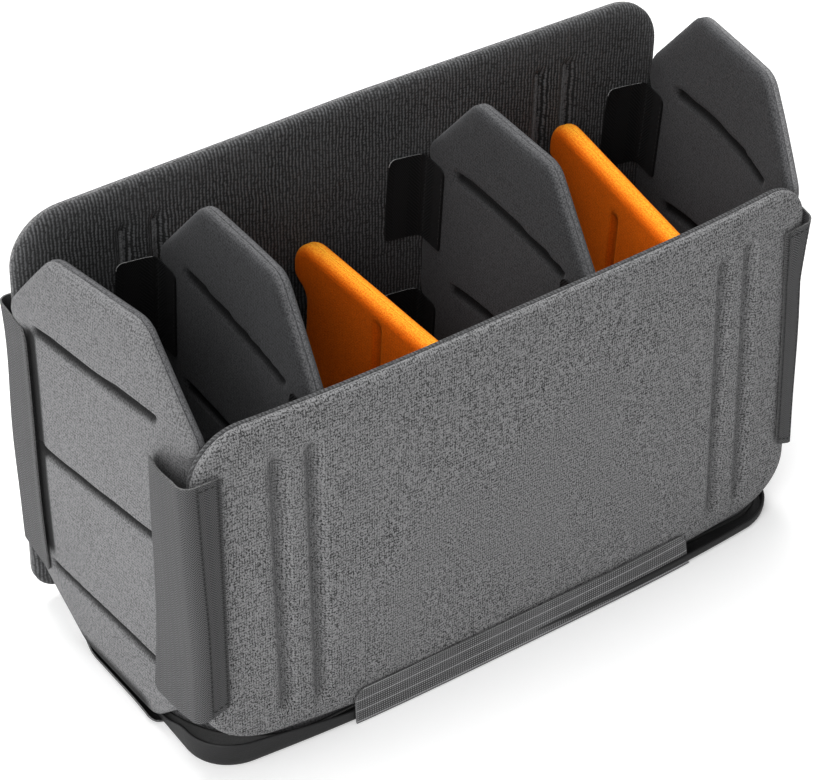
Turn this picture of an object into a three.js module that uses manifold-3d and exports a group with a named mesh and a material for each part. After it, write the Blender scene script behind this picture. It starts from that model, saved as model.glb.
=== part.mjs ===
// Padded divider insert of a camera shoulder bag.
// Two long walls and two eight-sided ends stand on a flat base. Four lift-out
// dividers stand between the walls. Everything is foam on a stiff board, held
// together by sewn nylon flaps and tabs. Lengths are millimetres, +X runs along
// the length, -Y is the front and +Z is up.
import * as THREE from 'three';
import { mergeVertices } from 'three/addons/utils/BufferGeometryUtils.js';
import Module from 'manifold-3d';

const wasm = await Module();
wasm.setup();

// Clearances
const fitGap = 0.3;          // between soft pieces that lie on each other
const standGap = 0.7;        // under the upright panels, on the base
const slideGap = 0.5;        // between a divider's edge and each long wall

// Long walls. The shift moves a wall's middle along X from the base's middle
const innerDepth = 141;
const wallThickness = 9;
const wallCornerRadius = 28;
const wallBoardInset = 9;
const wallChannelWidth = 7;
const wallChannelDepth = 1.9;
const wallChannelBottom = 20;
const frontWall = {
  side: -1, length: 360, height: 203, shift: 0, channelPlaces: [118.6, 136.3], channelTopMargin: 25,
};
const backWall = {
  side: 1, length: 377, height: 233, shift: 6, channelPlaces: [113.5, 131.5], channelTopMargin: 22,
};

// Base: as deep as the walls that stand on it, less a clearance at each face
const baseLength = 352;
const baseDepth = innerDepth + 2 * wallThickness - 2 * fitGap;
const baseThickness = 6;
const baseCornerRadius = 27;
const coverFloor = 1;
const coverRim = 1.2;
const baseBoardThickness = 1.2;
const basePadShoulder = 1;
const basePadShoulderInset = 1.5;
const endSeatLength = 64;
const endSeatReach = 7;
const endSeatCornerRadius = 3;

// Eight-sided ends and tall dividers
const endThickness = 10;
const endHeight = 236;
const dividerHeight = 233.5;
const endTopFlat = 63.5;
const chamferHeight = 45;
const endCornerRadius = 14;
const endBoardInset = 8;
const dividerThickness = 10;
const faceChannelHeights = [41, 115, 187];
const rightEndChannelDrop = 6;
const faceChannelLength = 100;
const faceChannelWidth = 5;
const faceChannelDepth = 1.7;

// Low dividers
const lowThickness = 12;
const lowHeight = 167;
const lowTopRadius = 13;
const lowEarHeight = 23;
const lowRecessDepth = 11;
const lowRecessBottom = 22;
const lowFilletRadius = 7;
const lowBoardInset = 6;
const lowCornerRadius = 7;
const lowChannelWidth = 5;
const lowChannelBottom = 30;
const lowChannelTopMargin = 16;

// Foam halves: how the face draws in to the seam, as a share of the half's height
const softRim = [
  { inset: 0, rise: 0 },
  { inset: 0.6, rise: 0.5 },
  { inset: 3, rise: 0.86 },
  { inset: 9, rise: 1 },
];
const fatRim = [
  { inset: 0, rise: 0 },
  { inset: 0.8, rise: 0.5 },
  { inset: 2.6, rise: 0.87 },
  { inset: 5.5, rise: 1 },
];
const boardThickness = 1;

// Nylon flaps, strips and tabs
const nylonThickness = 1;
const cornerFlapBottom = 46;
const cornerFlapTop = 189;
const cornerFlapReach = 16;
const looseFlapBulge = 6.5;
const tightFlapBulge = 1.5;
const flapCornerClearance = 1.2;
const flapBendRadius = 6;
const flapBellyShare = 0.2;
const cornerFlapSewnFront = 35;
const cornerFlapSewnBack = 24;
const hookStripThickness = 0.8;
const hookStripMargin = 1;
const baseFlapLength = 206;
const baseFlapHeight = 24;
const baseFlapRise = 1;
const baseFlapRadius = 6;
const sideFlapLength = 56;
const sideFlapHeight = 22;
const sideFlapRise = 1.5;
const tabReach = 22;
const tabBand = 10;
const tabCornerRadius = 8;
const tabBandRadius = 3;
const upperTab = { bottom: 131, top: 184 };
const lowerTab = { bottom: 50, top: 101 };
const rightEndUpperTab = { bottom: 123, top: 176 };
const rightEndTabReach = 26;
const lowTab = { bottom: 40, top: 128 };
const lowTabReach = 18;

// How each upright panel stands: place of its middle along X on the base, turn
// about the vertical and lean towards +X, in degrees, and how far it is held up
const leftEnd = { place: -176, turn: 8.5, lean: 0, raised: 0 };
const rightEnd = { place: 174, turn: -8.5, lean: 3.5, raised: 0 };
const tallLeft = { place: -111, turn: 0, lean: 2.5, raised: 0 };
const tallRight = { place: 40.5, turn: -2.7, lean: 2.5, raised: 0 };
const lowLeft = { place: -33, turn: 0, lean: 2, raised: 0 };
const lowRight = { place: 118, turn: -6.5, lean: 2, raised: 10 };

// Round stretches: how many straight steps stand for each kind of corner
const baseArcSteps = 6;
const wallArcSteps = 5;
const panelArcSteps = 3;
const seatArcSteps = 2;
const baseFlapArcSteps = 4;
const channelArcSteps = 4;
const bellySteps = 6;
const bendSteps = 5;

// Pressed channels: the share of the width over which each end runs out, the
// share of the depth that is left there, and how far the cutter stands clear
const channelRunOut = 0.6;
const channelEndLift = 0.9;
const cutterMargin = 1;
const cutterHeadroom = 3;
const weldDistance = 1e-4;

const radians = THREE.MathUtils.degToRad;
const innerHalf = innerDepth / 2;
const outerHalf = innerHalf + wallThickness;
const standHeight = baseThickness + standGap;

// Finishes
const finishes = {
  pile: { color: 0x76777a, roughness: 0.95, metalness: 0 },
  knit: { color: 0x4d4e51, roughness: 0.97, metalness: 0 },
  side: { color: 0x8a8b8d, roughness: 0.93, metalness: 0 },
  tall: { color: 0x5a5b5e, roughness: 0.95, metalness: 0 },
  orange: { color: 0xf08a1c, roughness: 0.9, metalness: 0 },
  nylon: { color: 0x3f4043, roughness: 0.75, metalness: 0 },
  hook: { color: 0x1c1c1e, roughness: 0.9, metalness: 0 },
  rubber: { color: 0x2e2f31, roughness: 0.6, metalness: 0 },
  board: { color: 0x2b2b2b, roughness: 0.5, metalness: 0 },
};

function makeMesh(name, geometry, finish) {
  const mesh = new THREE.Mesh(geometry, new THREE.MeshStandardMaterial(finishes[finish]));
  mesh.name = name;
  return mesh;
}

// A closed geometry as a manifold solid
function solidOf(geometry) {
  const bare = geometry.clone();
  bare.deleteAttribute('normal');
  bare.deleteAttribute('uv');
  const merged = mergeVertices(bare, weldDistance);
  return new wasm.Manifold(new wasm.Mesh({
    numProp: 3,
    vertProperties: new Float32Array(merged.attributes.position.array),
    triVerts: new Uint32Array(merged.index.array),
  }));
}

function geometryOf(solid) {
  const mesh = solid.getMesh();
  const geometry = new THREE.BufferGeometry();
  geometry.setAttribute('position', new THREE.BufferAttribute(new Float32Array(mesh.vertProperties), 3));
  geometry.setIndex(new THREE.BufferAttribute(new Uint32Array(mesh.triVerts), 1));
  geometry.computeVertexNormals();
  return geometry;
}

// Outline of straight sides with each corner rounded to its own radius.
// corners: { x, y, radius } in order, anticlockwise
function roundedOutline(corners, steps) {
  const points = [];
  corners.forEach((corner, index) => {
    const here = new THREE.Vector2(corner.x, corner.y);
    const before = corners[(index + corners.length - 1) % corners.length];
    const after = corners[(index + 1) % corners.length];
    const into = here.clone().sub(new THREE.Vector2(before.x, before.y)).normalize();
    const out = new THREE.Vector2(after.x, after.y).sub(here).normalize();
    const bend = Math.atan2(into.cross(out), into.dot(out));
    const trim = corner.radius * Math.tan(Math.abs(bend) / 2);
    const side = Math.sign(bend);
    const start = here.clone().addScaledVector(into, -trim);
    const normal = new THREE.Vector2(-into.y, into.x).multiplyScalar(side * corner.radius);
    const centre = start.clone().add(normal);
    const last = corner.radius > 0 ? steps : 0;
    for (let step = 0; step <= last; step += 1) {
      const spoke = normal.clone().negate().rotateAround(new THREE.Vector2(), (bend * step) / steps);
      points.push(centre.clone().add(spoke));
    }
  });
  return points;
}

// Outline moved inwards by a distance, point for point
function insetOutline(points, distance) {
  return points.map((point, index) => {
    const before = points[(index + points.length - 1) % points.length];
    const after = points[(index + 1) % points.length];
    const into = point.clone().sub(before).normalize();
    const out = after.clone().sub(point).normalize();
    const normal = new THREE.Vector2(-into.y - out.y, into.x + out.x).normalize();
    const stretch = normal.dot(new THREE.Vector2(-into.y, into.x));
    return point.clone().addScaledVector(normal, distance / stretch);
  });
}

// Closed solid through rings of equal point count, capped flat at both ends
function ringSolid(rings) {
  const count = rings[0].length;
  const positions = rings.flat().flatMap((point) => [point.x, point.y, point.z]);
  const index = [];
  const flat = (ring) => ring.map((point) => new THREE.Vector2(point.x, point.y));
  THREE.ShapeUtils.triangulateShape(flat(rings[0]), []).forEach(([a, b, c]) => index.push(a, c, b));
  const lastRing = (rings.length - 1) * count;
  THREE.ShapeUtils.triangulateShape(flat(rings.at(-1)), []).forEach(([a, b, c]) => {
    index.push(lastRing + a, lastRing + b, lastRing + c);
  });
  for (let ring = 0; ring < rings.length - 1; ring += 1) {
    for (let point = 0; point < count; point += 1) {
      const next = (point + 1) % count;
      const low = ring * count;
      const high = low + count;
      index.push(low + point, low + next, high + next);
      index.push(low + point, high + next, high + point);
    }
  }
  const geometry = new THREE.BufferGeometry();
  geometry.setAttribute('position', new THREE.Float32BufferAttribute(positions, 3));
  geometry.setIndex(index);
  geometry.computeVertexNormals();
  return geometry;
}

function slab(outline, low, high) {
  return ringSolid([low, high].map((z) => outline.map((p) => new THREE.Vector3(p.x, p.y, z))));
}

// One foam half: flat at the seam, crowned towards its face
function foamHalf(outline, rim, seam, height) {
  const rings = rim.map(({ inset, rise }) => insetOutline(outline, inset)
    .map((point) => new THREE.Vector3(point.x, point.y, seam + (height - seam) * rise)));
  return ringSolid(rings);
}

// A pressed channel: a rounded groove between two points of a face
function channelCutter(from, to, width, depth, face) {
  const along = new THREE.Vector2(to.x - from.x, to.y - from.y);
  const length = along.length();
  const radius = (width * width / 4 + depth * depth) / (2 * depth);
  const halfAngle = Math.asin(width / 2 / radius);
  const section = [];
  for (let step = 0; step <= channelArcSteps; step += 1) {
    const angle = halfAngle * (2 * step / channelArcSteps - 1);
    section.push(new THREE.Vector2(radius * Math.sin(angle), radius - depth - radius * Math.cos(angle)));
  }
  const farSide = width / 2 + cutterMargin;
  section.push(new THREE.Vector2(farSide, cutterHeadroom), new THREE.Vector2(-farSide, cutterHeadroom));
  const runOut = width * channelRunOut;
  const stations = [
    { distance: 0, lift: depth * channelEndLift },
    { distance: runOut, lift: 0 },
    { distance: length - runOut, lift: 0 },
    { distance: length, lift: depth * channelEndLift },
  ];
  const rings = stations.map(({ distance, lift }) => section.map((point) => {
    const raised = point.y < cutterHeadroom ? point.y + lift : point.y;
    return new THREE.Vector3(point.x, raised, distance);
  }));
  const geometry = ringSolid(rings);
  geometry.rotateX(Math.PI / 2);
  geometry.rotateZ(Math.atan2(along.y, along.x) + Math.PI / 2);
  geometry.translate(from.x, from.y, face);
  return geometry;
}

// A padded panel lying in its own XY plane: two foam halves with a board in a
// pocket between them. The halves meet at the seam in the middle of the rim.
function paddedPanel(name, sizes, padNames, finishNames) {
  const { outline, thickness, boardInset, rim, channels, channelWidth, channelDepth } = sizes;
  const half = thickness / 2;
  const boardOutline = insetOutline(outline, boardInset);
  const pocket = slab(insetOutline(outline, boardInset - fitGap),
    -boardThickness / 2 - fitGap, boardThickness / 2 + fitGap);
  const group = new THREE.Group();
  [1, -1].forEach((side) => {
    let foam = solidOf(foamHalf(outline, rim, fitGap / 2, half));
    channels.forEach(([from, to]) => {
      foam = foam.subtract(solidOf(channelCutter(from, to, channelWidth, channelDepth, half)));
    });
    foam = foam.subtract(solidOf(pocket));
    const pick = side > 0 ? 0 : 1;
    const pad = makeMesh(`${name}_${padNames[pick]}_pad`, geometryOf(foam), finishNames[pick]);
    pad.rotation.y = side > 0 ? 0 : Math.PI;
    group.add(pad);
  });
  const board = slab(boardOutline, -boardThickness / 2, boardThickness / 2);
  group.add(makeMesh(`${name}_board`, board, 'board'));
  return group;
}

// Stands a flat panel up, facing -Y, and turns it by a heading about +Z
function stood(panel, heading) {
  const upright = new THREE.Group();
  upright.rotation.x = Math.PI / 2;
  upright.add(panel);
  const turned = new THREE.Group();
  turned.rotation.z = heading;
  turned.add(upright);
  return turned;
}

const part = new THREE.Group();

// Base: a dark cover with a rim, a board and a thin pad in it
function rectangle(length, depth, radius, steps) {
  const x = length / 2;
  const y = depth / 2;
  const corners = [[x, -y], [x, y], [-x, y], [-x, -y]];
  return roundedOutline(corners.map(([cx, cy]) => ({ x: cx, y: cy, radius })), steps);
}

function addBase() {
  const outline = rectangle(baseLength, baseDepth, baseCornerRadius, baseArcSteps);
  const well = insetOutline(outline, coverRim);
  const seat = rectangle(baseLength + 2 * endSeatReach, endSeatLength, endSeatCornerRadius, seatArcSteps);
  const cover = solidOf(slab(outline, 0, baseThickness))
    .subtract(solidOf(slab(well, coverFloor, baseThickness + cutterMargin)))
    .add(solidOf(slab(seat, 0, coverFloor)));
  part.add(makeMesh('base_cover', geometryOf(cover), 'rubber'));
  const filling = insetOutline(outline, coverRim + fitGap);
  const boardLow = coverFloor + fitGap;
  const boardHigh = boardLow + baseBoardThickness;
  part.add(makeMesh('base_board', slab(filling, boardLow, boardHigh), 'board'));
  const padLow = boardHigh + fitGap;
  const rings = [
    [0, padLow],
    [0, baseThickness - basePadShoulder],
    [basePadShoulderInset, baseThickness],
  ];
  part.add(makeMesh('base_pad', ringSolid(rings.map(([inset, z]) => insetOutline(filling, inset)
    .map((point) => new THREE.Vector3(point.x, point.y, z)))), 'knit'));
}

// Long walls
function addWall(name, { side, length, height, shift, channelPlaces, channelTopMargin }) {
  const lift = new THREE.Vector2(0, height / 2);
  const outline = rectangle(length, height, wallCornerRadius, wallArcSteps).map((point) => point.add(lift));
  const top = height - channelTopMargin;
  const channels = [-1, 1].flatMap((end) => channelPlaces.map((place) => [
    new THREE.Vector2(end * place, wallChannelBottom),
    new THREE.Vector2(end * place, top),
  ]));
  const panel = paddedPanel(name, {
    outline,
    thickness: wallThickness,
    boardInset: wallBoardInset,
    rim: softRim,
    channels,
    channelWidth: wallChannelWidth,
    channelDepth: wallChannelDepth,
  }, ['outer', 'inner'], ['pile', 'knit']);
  const wall = stood(panel, side > 0 ? Math.PI : 0);
  wall.position.set(shift, side * (innerHalf + wallThickness / 2), standHeight);
  part.add(wall);
}

// Outline of the eight-sided panels, standing on their lower flat
function eightSided(width, height) {
  const x = width / 2;
  const flat = endTopFlat / 2;
  const shoulder = height - chamferHeight;
  const corners = [
    [-flat, 0], [flat, 0], [x, chamferHeight], [x, shoulder],
    [flat, height], [-flat, height], [-x, shoulder], [-x, chamferHeight],
  ];
  const rounded = corners.map(([cx, cy]) => ({ x: cx, y: cy, radius: endCornerRadius }));
  return roundedOutline(rounded, panelArcSteps);
}

// Outline of the low dividers: an ear at each upper corner over a recess for the tab
function earedOutline(width) {
  const x = width / 2;
  const waist = x - lowRecessDepth;
  const earBottom = lowHeight - lowEarHeight;
  const slope = lowRecessDepth / 2;
  const right = [
    { x, y: 0, radius: lowCornerRadius },
    { x, y: lowRecessBottom, radius: lowFilletRadius },
    { x: waist, y: lowRecessBottom + slope, radius: lowFilletRadius },
    { x: waist, y: earBottom - slope, radius: lowFilletRadius },
    { x, y: earBottom, radius: lowFilletRadius },
    { x, y: lowHeight, radius: lowTopRadius },
  ];
  const left = right.map((corner) => ({ ...corner, x: -corner.x })).reverse();
  return roundedOutline([...right, ...left], panelArcSteps);
}

// Depth that a turned panel may have between the long walls
function clearWidth(turn, thickness, clearance) {
  const angle = Math.abs(radians(turn));
  return (innerDepth - 2 * clearance - thickness * Math.sin(angle)) / Math.cos(angle);
}

// A leaning stand for an upright panel, at its place on the base
function makeStand({ place, lean, raised }) {
  const stand = new THREE.Group();
  stand.position.set(place, 0, standHeight + raised);
  stand.rotation.y = radians(lean);
  part.add(stand);
  return stand;
}

const crossHeading = (turn) => -Math.PI / 2 + radians(turn);

function addEightSided(name, stance, { height, thickness, clearance, channelDrop, padNames, finishNames }) {
  const stand = makeStand(stance);
  const channels = faceChannelHeights.map((place) => [
    new THREE.Vector2(-faceChannelLength / 2, place - channelDrop),
    new THREE.Vector2(faceChannelLength / 2, place - channelDrop),
  ]);
  const panel = paddedPanel(name, {
    outline: eightSided(clearWidth(stance.turn, thickness, clearance), height),
    thickness,
    boardInset: endBoardInset,
    rim: softRim,
    channels,
    channelWidth: faceChannelWidth,
    channelDepth: faceChannelDepth,
  }, padNames, finishNames);
  stand.add(stood(panel, crossHeading(stance.turn)));
  return stand;
}

function addLow(name, stance) {
  const stand = makeStand(stance);
  const channels = [[
    new THREE.Vector2(0, lowChannelBottom),
    new THREE.Vector2(0, lowHeight - lowChannelTopMargin),
  ]];
  const panel = paddedPanel(name, {
    outline: earedOutline(clearWidth(stance.turn, lowThickness, slideGap)),
    thickness: lowThickness,
    boardInset: lowBoardInset,
    rim: fatRim,
    channels,
    channelWidth: lowChannelWidth,
    channelDepth: faceChannelDepth,
  }, ['left', 'right'], ['orange', 'orange']);
  stand.add(stood(panel, crossHeading(stance.turn)));
  return stand;
}

// Sheet of nylon cut to an outline: x along, y up, thickness towards along x up
function sheet(outline, origin, along) {
  const up = new THREE.Vector3(0, 0, 1);
  const basis = new THREE.Matrix4().makeBasis(along, up, along.clone().cross(up));
  return slab(outline, 0, nylonThickness).applyMatrix4(basis.setPosition(origin));
}

// Outline of a sheet from x 0 to its reach, with its free corners rounded
function leafOutline(reach, span, radius) {
  return roundedOutline([
    { x: 0, y: span.bottom, radius: 0 }, { x: reach, y: span.bottom, radius },
    { x: reach, y: span.top, radius }, { x: 0, y: span.top, radius: 0 },
  ], panelArcSteps);
}

// Nylon tab in an upright panel's stand: a leaf that lies on a long wall and a
// band that lies on the panel's face. side: -1 front wall, 1 back wall.
// face: -1 on the panel's -X face, 1 on its +X face
function addTab(stand, name, { turn, thickness, side, face, reach, span, bandReach }) {
  const angle = radians(turn);
  const offset = face * (thickness / 2 + fitGap);
  const leafFar = side * (innerHalf - fitGap);
  const leafNear = side * (innerHalf - fitGap - nylonThickness);
  const faceX = (y) => (offset - y * Math.sin(angle)) / Math.cos(angle);
  const leafStart = face > 0 ? Math.max(leafFar, leafNear) : Math.min(leafFar, leafNear);
  const leaf = sheet(leafOutline(reach, span, tabCornerRadius),
    new THREE.Vector3(faceX(leafNear), leafStart, 0), new THREE.Vector3(face, 0, 0));
  const inward = new THREE.Vector3(Math.sin(angle), -Math.cos(angle), 0).multiplyScalar(side);
  const away = new THREE.Vector3(Math.cos(angle), Math.sin(angle), 0).multiplyScalar(face);
  const bandY = (leafFar + leafNear) / 2;
  const bandStart = new THREE.Vector3(faceX(bandY), bandY, 0);
  if (side * face > 0) bandStart.addScaledVector(away, nylonThickness);
  const band = sheet(leafOutline(bandReach, span, tabBandRadius), bandStart, inward);
  stand.add(makeMesh(name, geometryOf(solidOf(leaf).add(solidOf(band))), 'nylon'));
}

// Outer face of an end at a height and depth: x away from the middle of the part
function endFaceReach({ place, turn, lean }, y, z) {
  const outward = Math.sign(place);
  const rise = (z - standHeight) / Math.cos(radians(lean));
  const middle = place + rise * Math.sin(radians(lean));
  const angle = radians(turn);
  const across = (outward * endThickness) / 2 - y * Math.sin(angle);
  return outward * (middle + across / Math.cos(angle));
}

// Path of a corner flap in plan, seen with both axes pointing out of the corner:
// off the end's face, round the wall's end and along the wall's outer face
function flapPath(stance, { side, wallEnd, sewn, bulge }, z) {
  const onFace = (y) => endFaceReach(stance, side * y, z) + fitGap + nylonThickness / 2;
  const corner = endFaceReach(stance, side * innerHalf, z) + flapCornerClearance;
  const reachX = Math.max(wallEnd + bulge, corner);
  const layY = outerHalf + 2 * fitGap + hookStripThickness + nylonThickness / 2;
  const bendY = sewn + (layY - sewn) * flapBellyShare;
  const from = new THREE.Vector2(onFace(sewn), sewn);
  const bend = new THREE.Vector2(Math.max(reachX, onFace(bendY)), bendY);
  const to = new THREE.Vector2(reachX, layY - flapBendRadius);
  const belly = new THREE.QuadraticBezierCurve(from, bend, to).getPoints(bellySteps);
  const turnPoints = [];
  for (let step = 1; step <= bendSteps; step += 1) {
    const angle = (Math.PI / 2) * (step / bendSteps);
    turnPoints.push(new THREE.Vector2(
      to.x + flapBendRadius * (Math.cos(angle) - 1),
      to.y + flapBendRadius * Math.sin(angle),
    ));
  }
  return [...belly, ...turnPoints, new THREE.Vector2(wallEnd - cornerFlapReach, layY)];
}

// Closed outline round a path of even thickness
function thickened(path, thickness) {
  const edge = (shift) => path.map((point, index) => {
    const before = path[Math.max(index - 1, 0)];
    const after = path[Math.min(index + 1, path.length - 1)];
    const along = after.clone().sub(before).normalize();
    return point.clone().add(new THREE.Vector2(-along.y, along.x).multiplyScalar(shift));
  });
  return [...edge(-thickness / 2), ...edge(thickness / 2).reverse()];
}

function addCornerFlap(name, stance, wall, sewnInset, bulge) {
  const outward = Math.sign(stance.place);
  const { side } = wall;
  const wallEnd = wall.length / 2 + outward * wall.shift;
  const sewn = outerHalf - sewnInset;
  const rings = [cornerFlapBottom, cornerFlapTop].map((z) => {
    const path = flapPath(stance, { side, wallEnd, sewn, bulge }, z)
      .map((point) => new THREE.Vector2(outward * point.x, side * point.y));
    return thickened(path, nylonThickness).map((point) => new THREE.Vector3(point.x, point.y, z));
  });
  const plan = rings[0].map((point) => new THREE.Vector2(point.x, point.y));
  if (THREE.ShapeUtils.isClockWise(plan)) rings.forEach((ring) => ring.reverse());
  part.add(makeMesh(`corner_flap_${name}`, ringSolid(rings), 'nylon'));
  const free = wallEnd - cornerFlapReach;
  const stripWidth = cornerFlapReach - flapBendRadius - 2 * hookStripMargin;
  const stripX = outward * (free + hookStripMargin + stripWidth / 2);
  const stripY = side * (outerHalf + fitGap + hookStripThickness / 2);
  const strip = rectangleAt(stripX, stripY, stripWidth, hookStripThickness);
  part.add(makeMesh(`corner_strip_${name}`,
    slab(strip, cornerFlapBottom + hookStripMargin, cornerFlapTop - hookStripMargin), 'hook'));
}

function rectangleAt(x, y, length, depth) {
  return [[-1, -1], [1, -1], [1, 1], [-1, 1]]
    .map(([sx, sy]) => new THREE.Vector2(x + (sx * length) / 2, y + (sy * depth) / 2));
}

// Base flaps: the long ones lie on the outside of the walls, the short ones on
// the inside of the ends
function addLongBaseFlap(name, side) {
  const span = { bottom: baseFlapRise, top: baseFlapRise + baseFlapHeight };
  const near = side * (outerHalf + fitGap);
  const far = side * (outerHalf + fitGap + nylonThickness);
  const outline = roundedOutline([
    { x: -baseFlapLength / 2, y: span.bottom, radius: 0 },
    { x: baseFlapLength / 2, y: span.bottom, radius: 0 },
    { x: baseFlapLength / 2, y: span.top, radius: baseFlapRadius },
    { x: -baseFlapLength / 2, y: span.top, radius: baseFlapRadius },
  ], baseFlapArcSteps);
  const origin = new THREE.Vector3(0, Math.max(near, far), 0);
  part.add(makeMesh(name, sheet(outline, origin, new THREE.Vector3(1, 0, 0)), 'nylon'));
}

function addSideBaseFlap(stand, name, stance) {
  const outline = roundedOutline([
    { x: -sideFlapLength / 2, y: sideFlapRise, radius: 0 },
    { x: sideFlapLength / 2, y: sideFlapRise, radius: 0 },
    { x: sideFlapLength / 2, y: sideFlapRise + sideFlapHeight, radius: baseFlapRadius },
    { x: -sideFlapLength / 2, y: sideFlapRise + sideFlapHeight, radius: baseFlapRadius },
  ], baseFlapArcSteps);
  const inner = Math.sign(stance.place);
  const near = inner * (endThickness / 2 + fitGap);
  const far = inner * (endThickness / 2 + fitGap + nylonThickness);
  const flap = slab(outline, Math.min(near, far), Math.max(near, far));
  stand.add(stood(makeMesh(name, flap, 'nylon'), crossHeading(stance.turn)));
}

const depthNames = { front: -1, back: 1 };

function addTallPanel(name, stance, options) {
  const { thickness, tabFace, tabSpans, tabReaches } = options;
  const stand = addEightSided(name, stance, options);
  Object.entries(depthNames).forEach(([depthName, side]) => {
    ['upper', 'lower'].forEach((level, index) => {
      addTab(stand, `${name}_tab_${depthName}_${level}`, {
        turn: stance.turn,
        thickness,
        side,
        face: tabFace,
        reach: tabReaches[index],
        span: tabSpans[index],
        bandReach: tabBand,
      });
    });
  });
  return stand;
}

function addEnd(hand, stance, options) {
  const outward = Math.sign(stance.place);
  const stand = addTallPanel(`${hand}_end`, stance, {
    height: endHeight,
    thickness: endThickness,
    clearance: fitGap,
    padNames: outward < 0 ? ['outer', 'inner'] : ['inner', 'outer'],
    finishNames: outward < 0 ? ['side', 'tall'] : ['tall', 'side'],
    tabFace: -outward,
    ...options,
  });
  addSideBaseFlap(stand, `base_flap_${hand}`, stance);
  addCornerFlap(`front_${hand}`, stance, frontWall, cornerFlapSewnFront, options.frontFlapBulge);
  addCornerFlap(`back_${hand}`, stance, backWall, cornerFlapSewnBack, tightFlapBulge);
}

addBase();
addWall('front_wall', frontWall);
addWall('back_wall', backWall);

addEnd('left', leftEnd, {
  channelDrop: 0,
  tabSpans: [upperTab, lowerTab],
  tabReaches: [tabReach, tabReach],
  frontFlapBulge: looseFlapBulge,
});
addEnd('right', rightEnd, {
  channelDrop: rightEndChannelDrop,
  tabSpans: [rightEndUpperTab, lowerTab],
  tabReaches: [rightEndTabReach, tabReach],
  frontFlapBulge: tightFlapBulge,
});

[['left', tallLeft], ['right', tallRight]].forEach(([hand, stance]) => {
  addTallPanel(`tall_divider_${hand}`, stance, {
    height: dividerHeight,
    thickness: dividerThickness,
    clearance: slideGap,
    channelDrop: 0,
    padNames: ['left', 'right'],
    finishNames: ['tall', 'tall'],
    tabFace: -1,
    tabSpans: [upperTab, lowerTab],
    tabReaches: [tabReach, tabReach],
  });
});

[['left', lowLeft], ['right', lowRight]].forEach(([hand, stance]) => {
  const name = `low_divider_${hand}`;
  const stand = addLow(name, stance);
  Object.entries(depthNames).forEach(([depthName, side]) => {
    addTab(stand, `${name}_tab_${depthName}`, {
      turn: stance.turn,
      thickness: lowThickness,
      side,
      face: 1,
      reach: lowTabReach,
      span: lowTab,
      bandReach: tabBand + lowRecessDepth,
    });
  });
});

addLongBaseFlap('base_flap_front', -1);
addLongBaseFlap('base_flap_back', 1);

export default part;
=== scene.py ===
"""Dressed model of a padded, open-topped divider insert for a camera shoulder bag.

Two long foam walls and two eight-sided foam ends stand on a stiff base, four padded
dividers stand between them, and nylon flaps and tabs hold the pieces together.
Sizes are in millimetres where a name says so, and in metres elsewhere.
"""

import logging
import math
from dataclasses import dataclass, field, replace
from enum import Enum
from typing import Callable, Sequence

import bpy
import numpy as np
from mathutils import Matrix, Vector


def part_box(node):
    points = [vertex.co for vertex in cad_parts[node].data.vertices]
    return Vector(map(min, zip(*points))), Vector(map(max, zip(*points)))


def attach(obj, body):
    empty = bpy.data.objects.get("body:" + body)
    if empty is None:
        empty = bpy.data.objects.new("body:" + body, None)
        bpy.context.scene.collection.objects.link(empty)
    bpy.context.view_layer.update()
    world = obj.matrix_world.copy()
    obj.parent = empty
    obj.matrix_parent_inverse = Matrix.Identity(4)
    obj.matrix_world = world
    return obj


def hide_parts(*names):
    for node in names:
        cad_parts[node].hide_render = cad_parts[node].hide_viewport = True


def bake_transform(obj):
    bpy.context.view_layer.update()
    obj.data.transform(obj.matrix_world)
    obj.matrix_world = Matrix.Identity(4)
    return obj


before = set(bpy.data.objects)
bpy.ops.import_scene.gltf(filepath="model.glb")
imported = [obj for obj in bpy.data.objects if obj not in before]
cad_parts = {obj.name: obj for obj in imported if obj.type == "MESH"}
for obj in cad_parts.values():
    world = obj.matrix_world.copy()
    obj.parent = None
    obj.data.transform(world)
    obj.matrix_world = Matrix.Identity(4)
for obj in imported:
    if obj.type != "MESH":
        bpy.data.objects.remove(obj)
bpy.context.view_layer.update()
log = logging.getLogger("insert")

MM = 0.001
ARC_STEPS = 16
RIDGE_PITCH_MM = 1.45
RIM_ROLL_MM = (5.0, 9.0)


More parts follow.
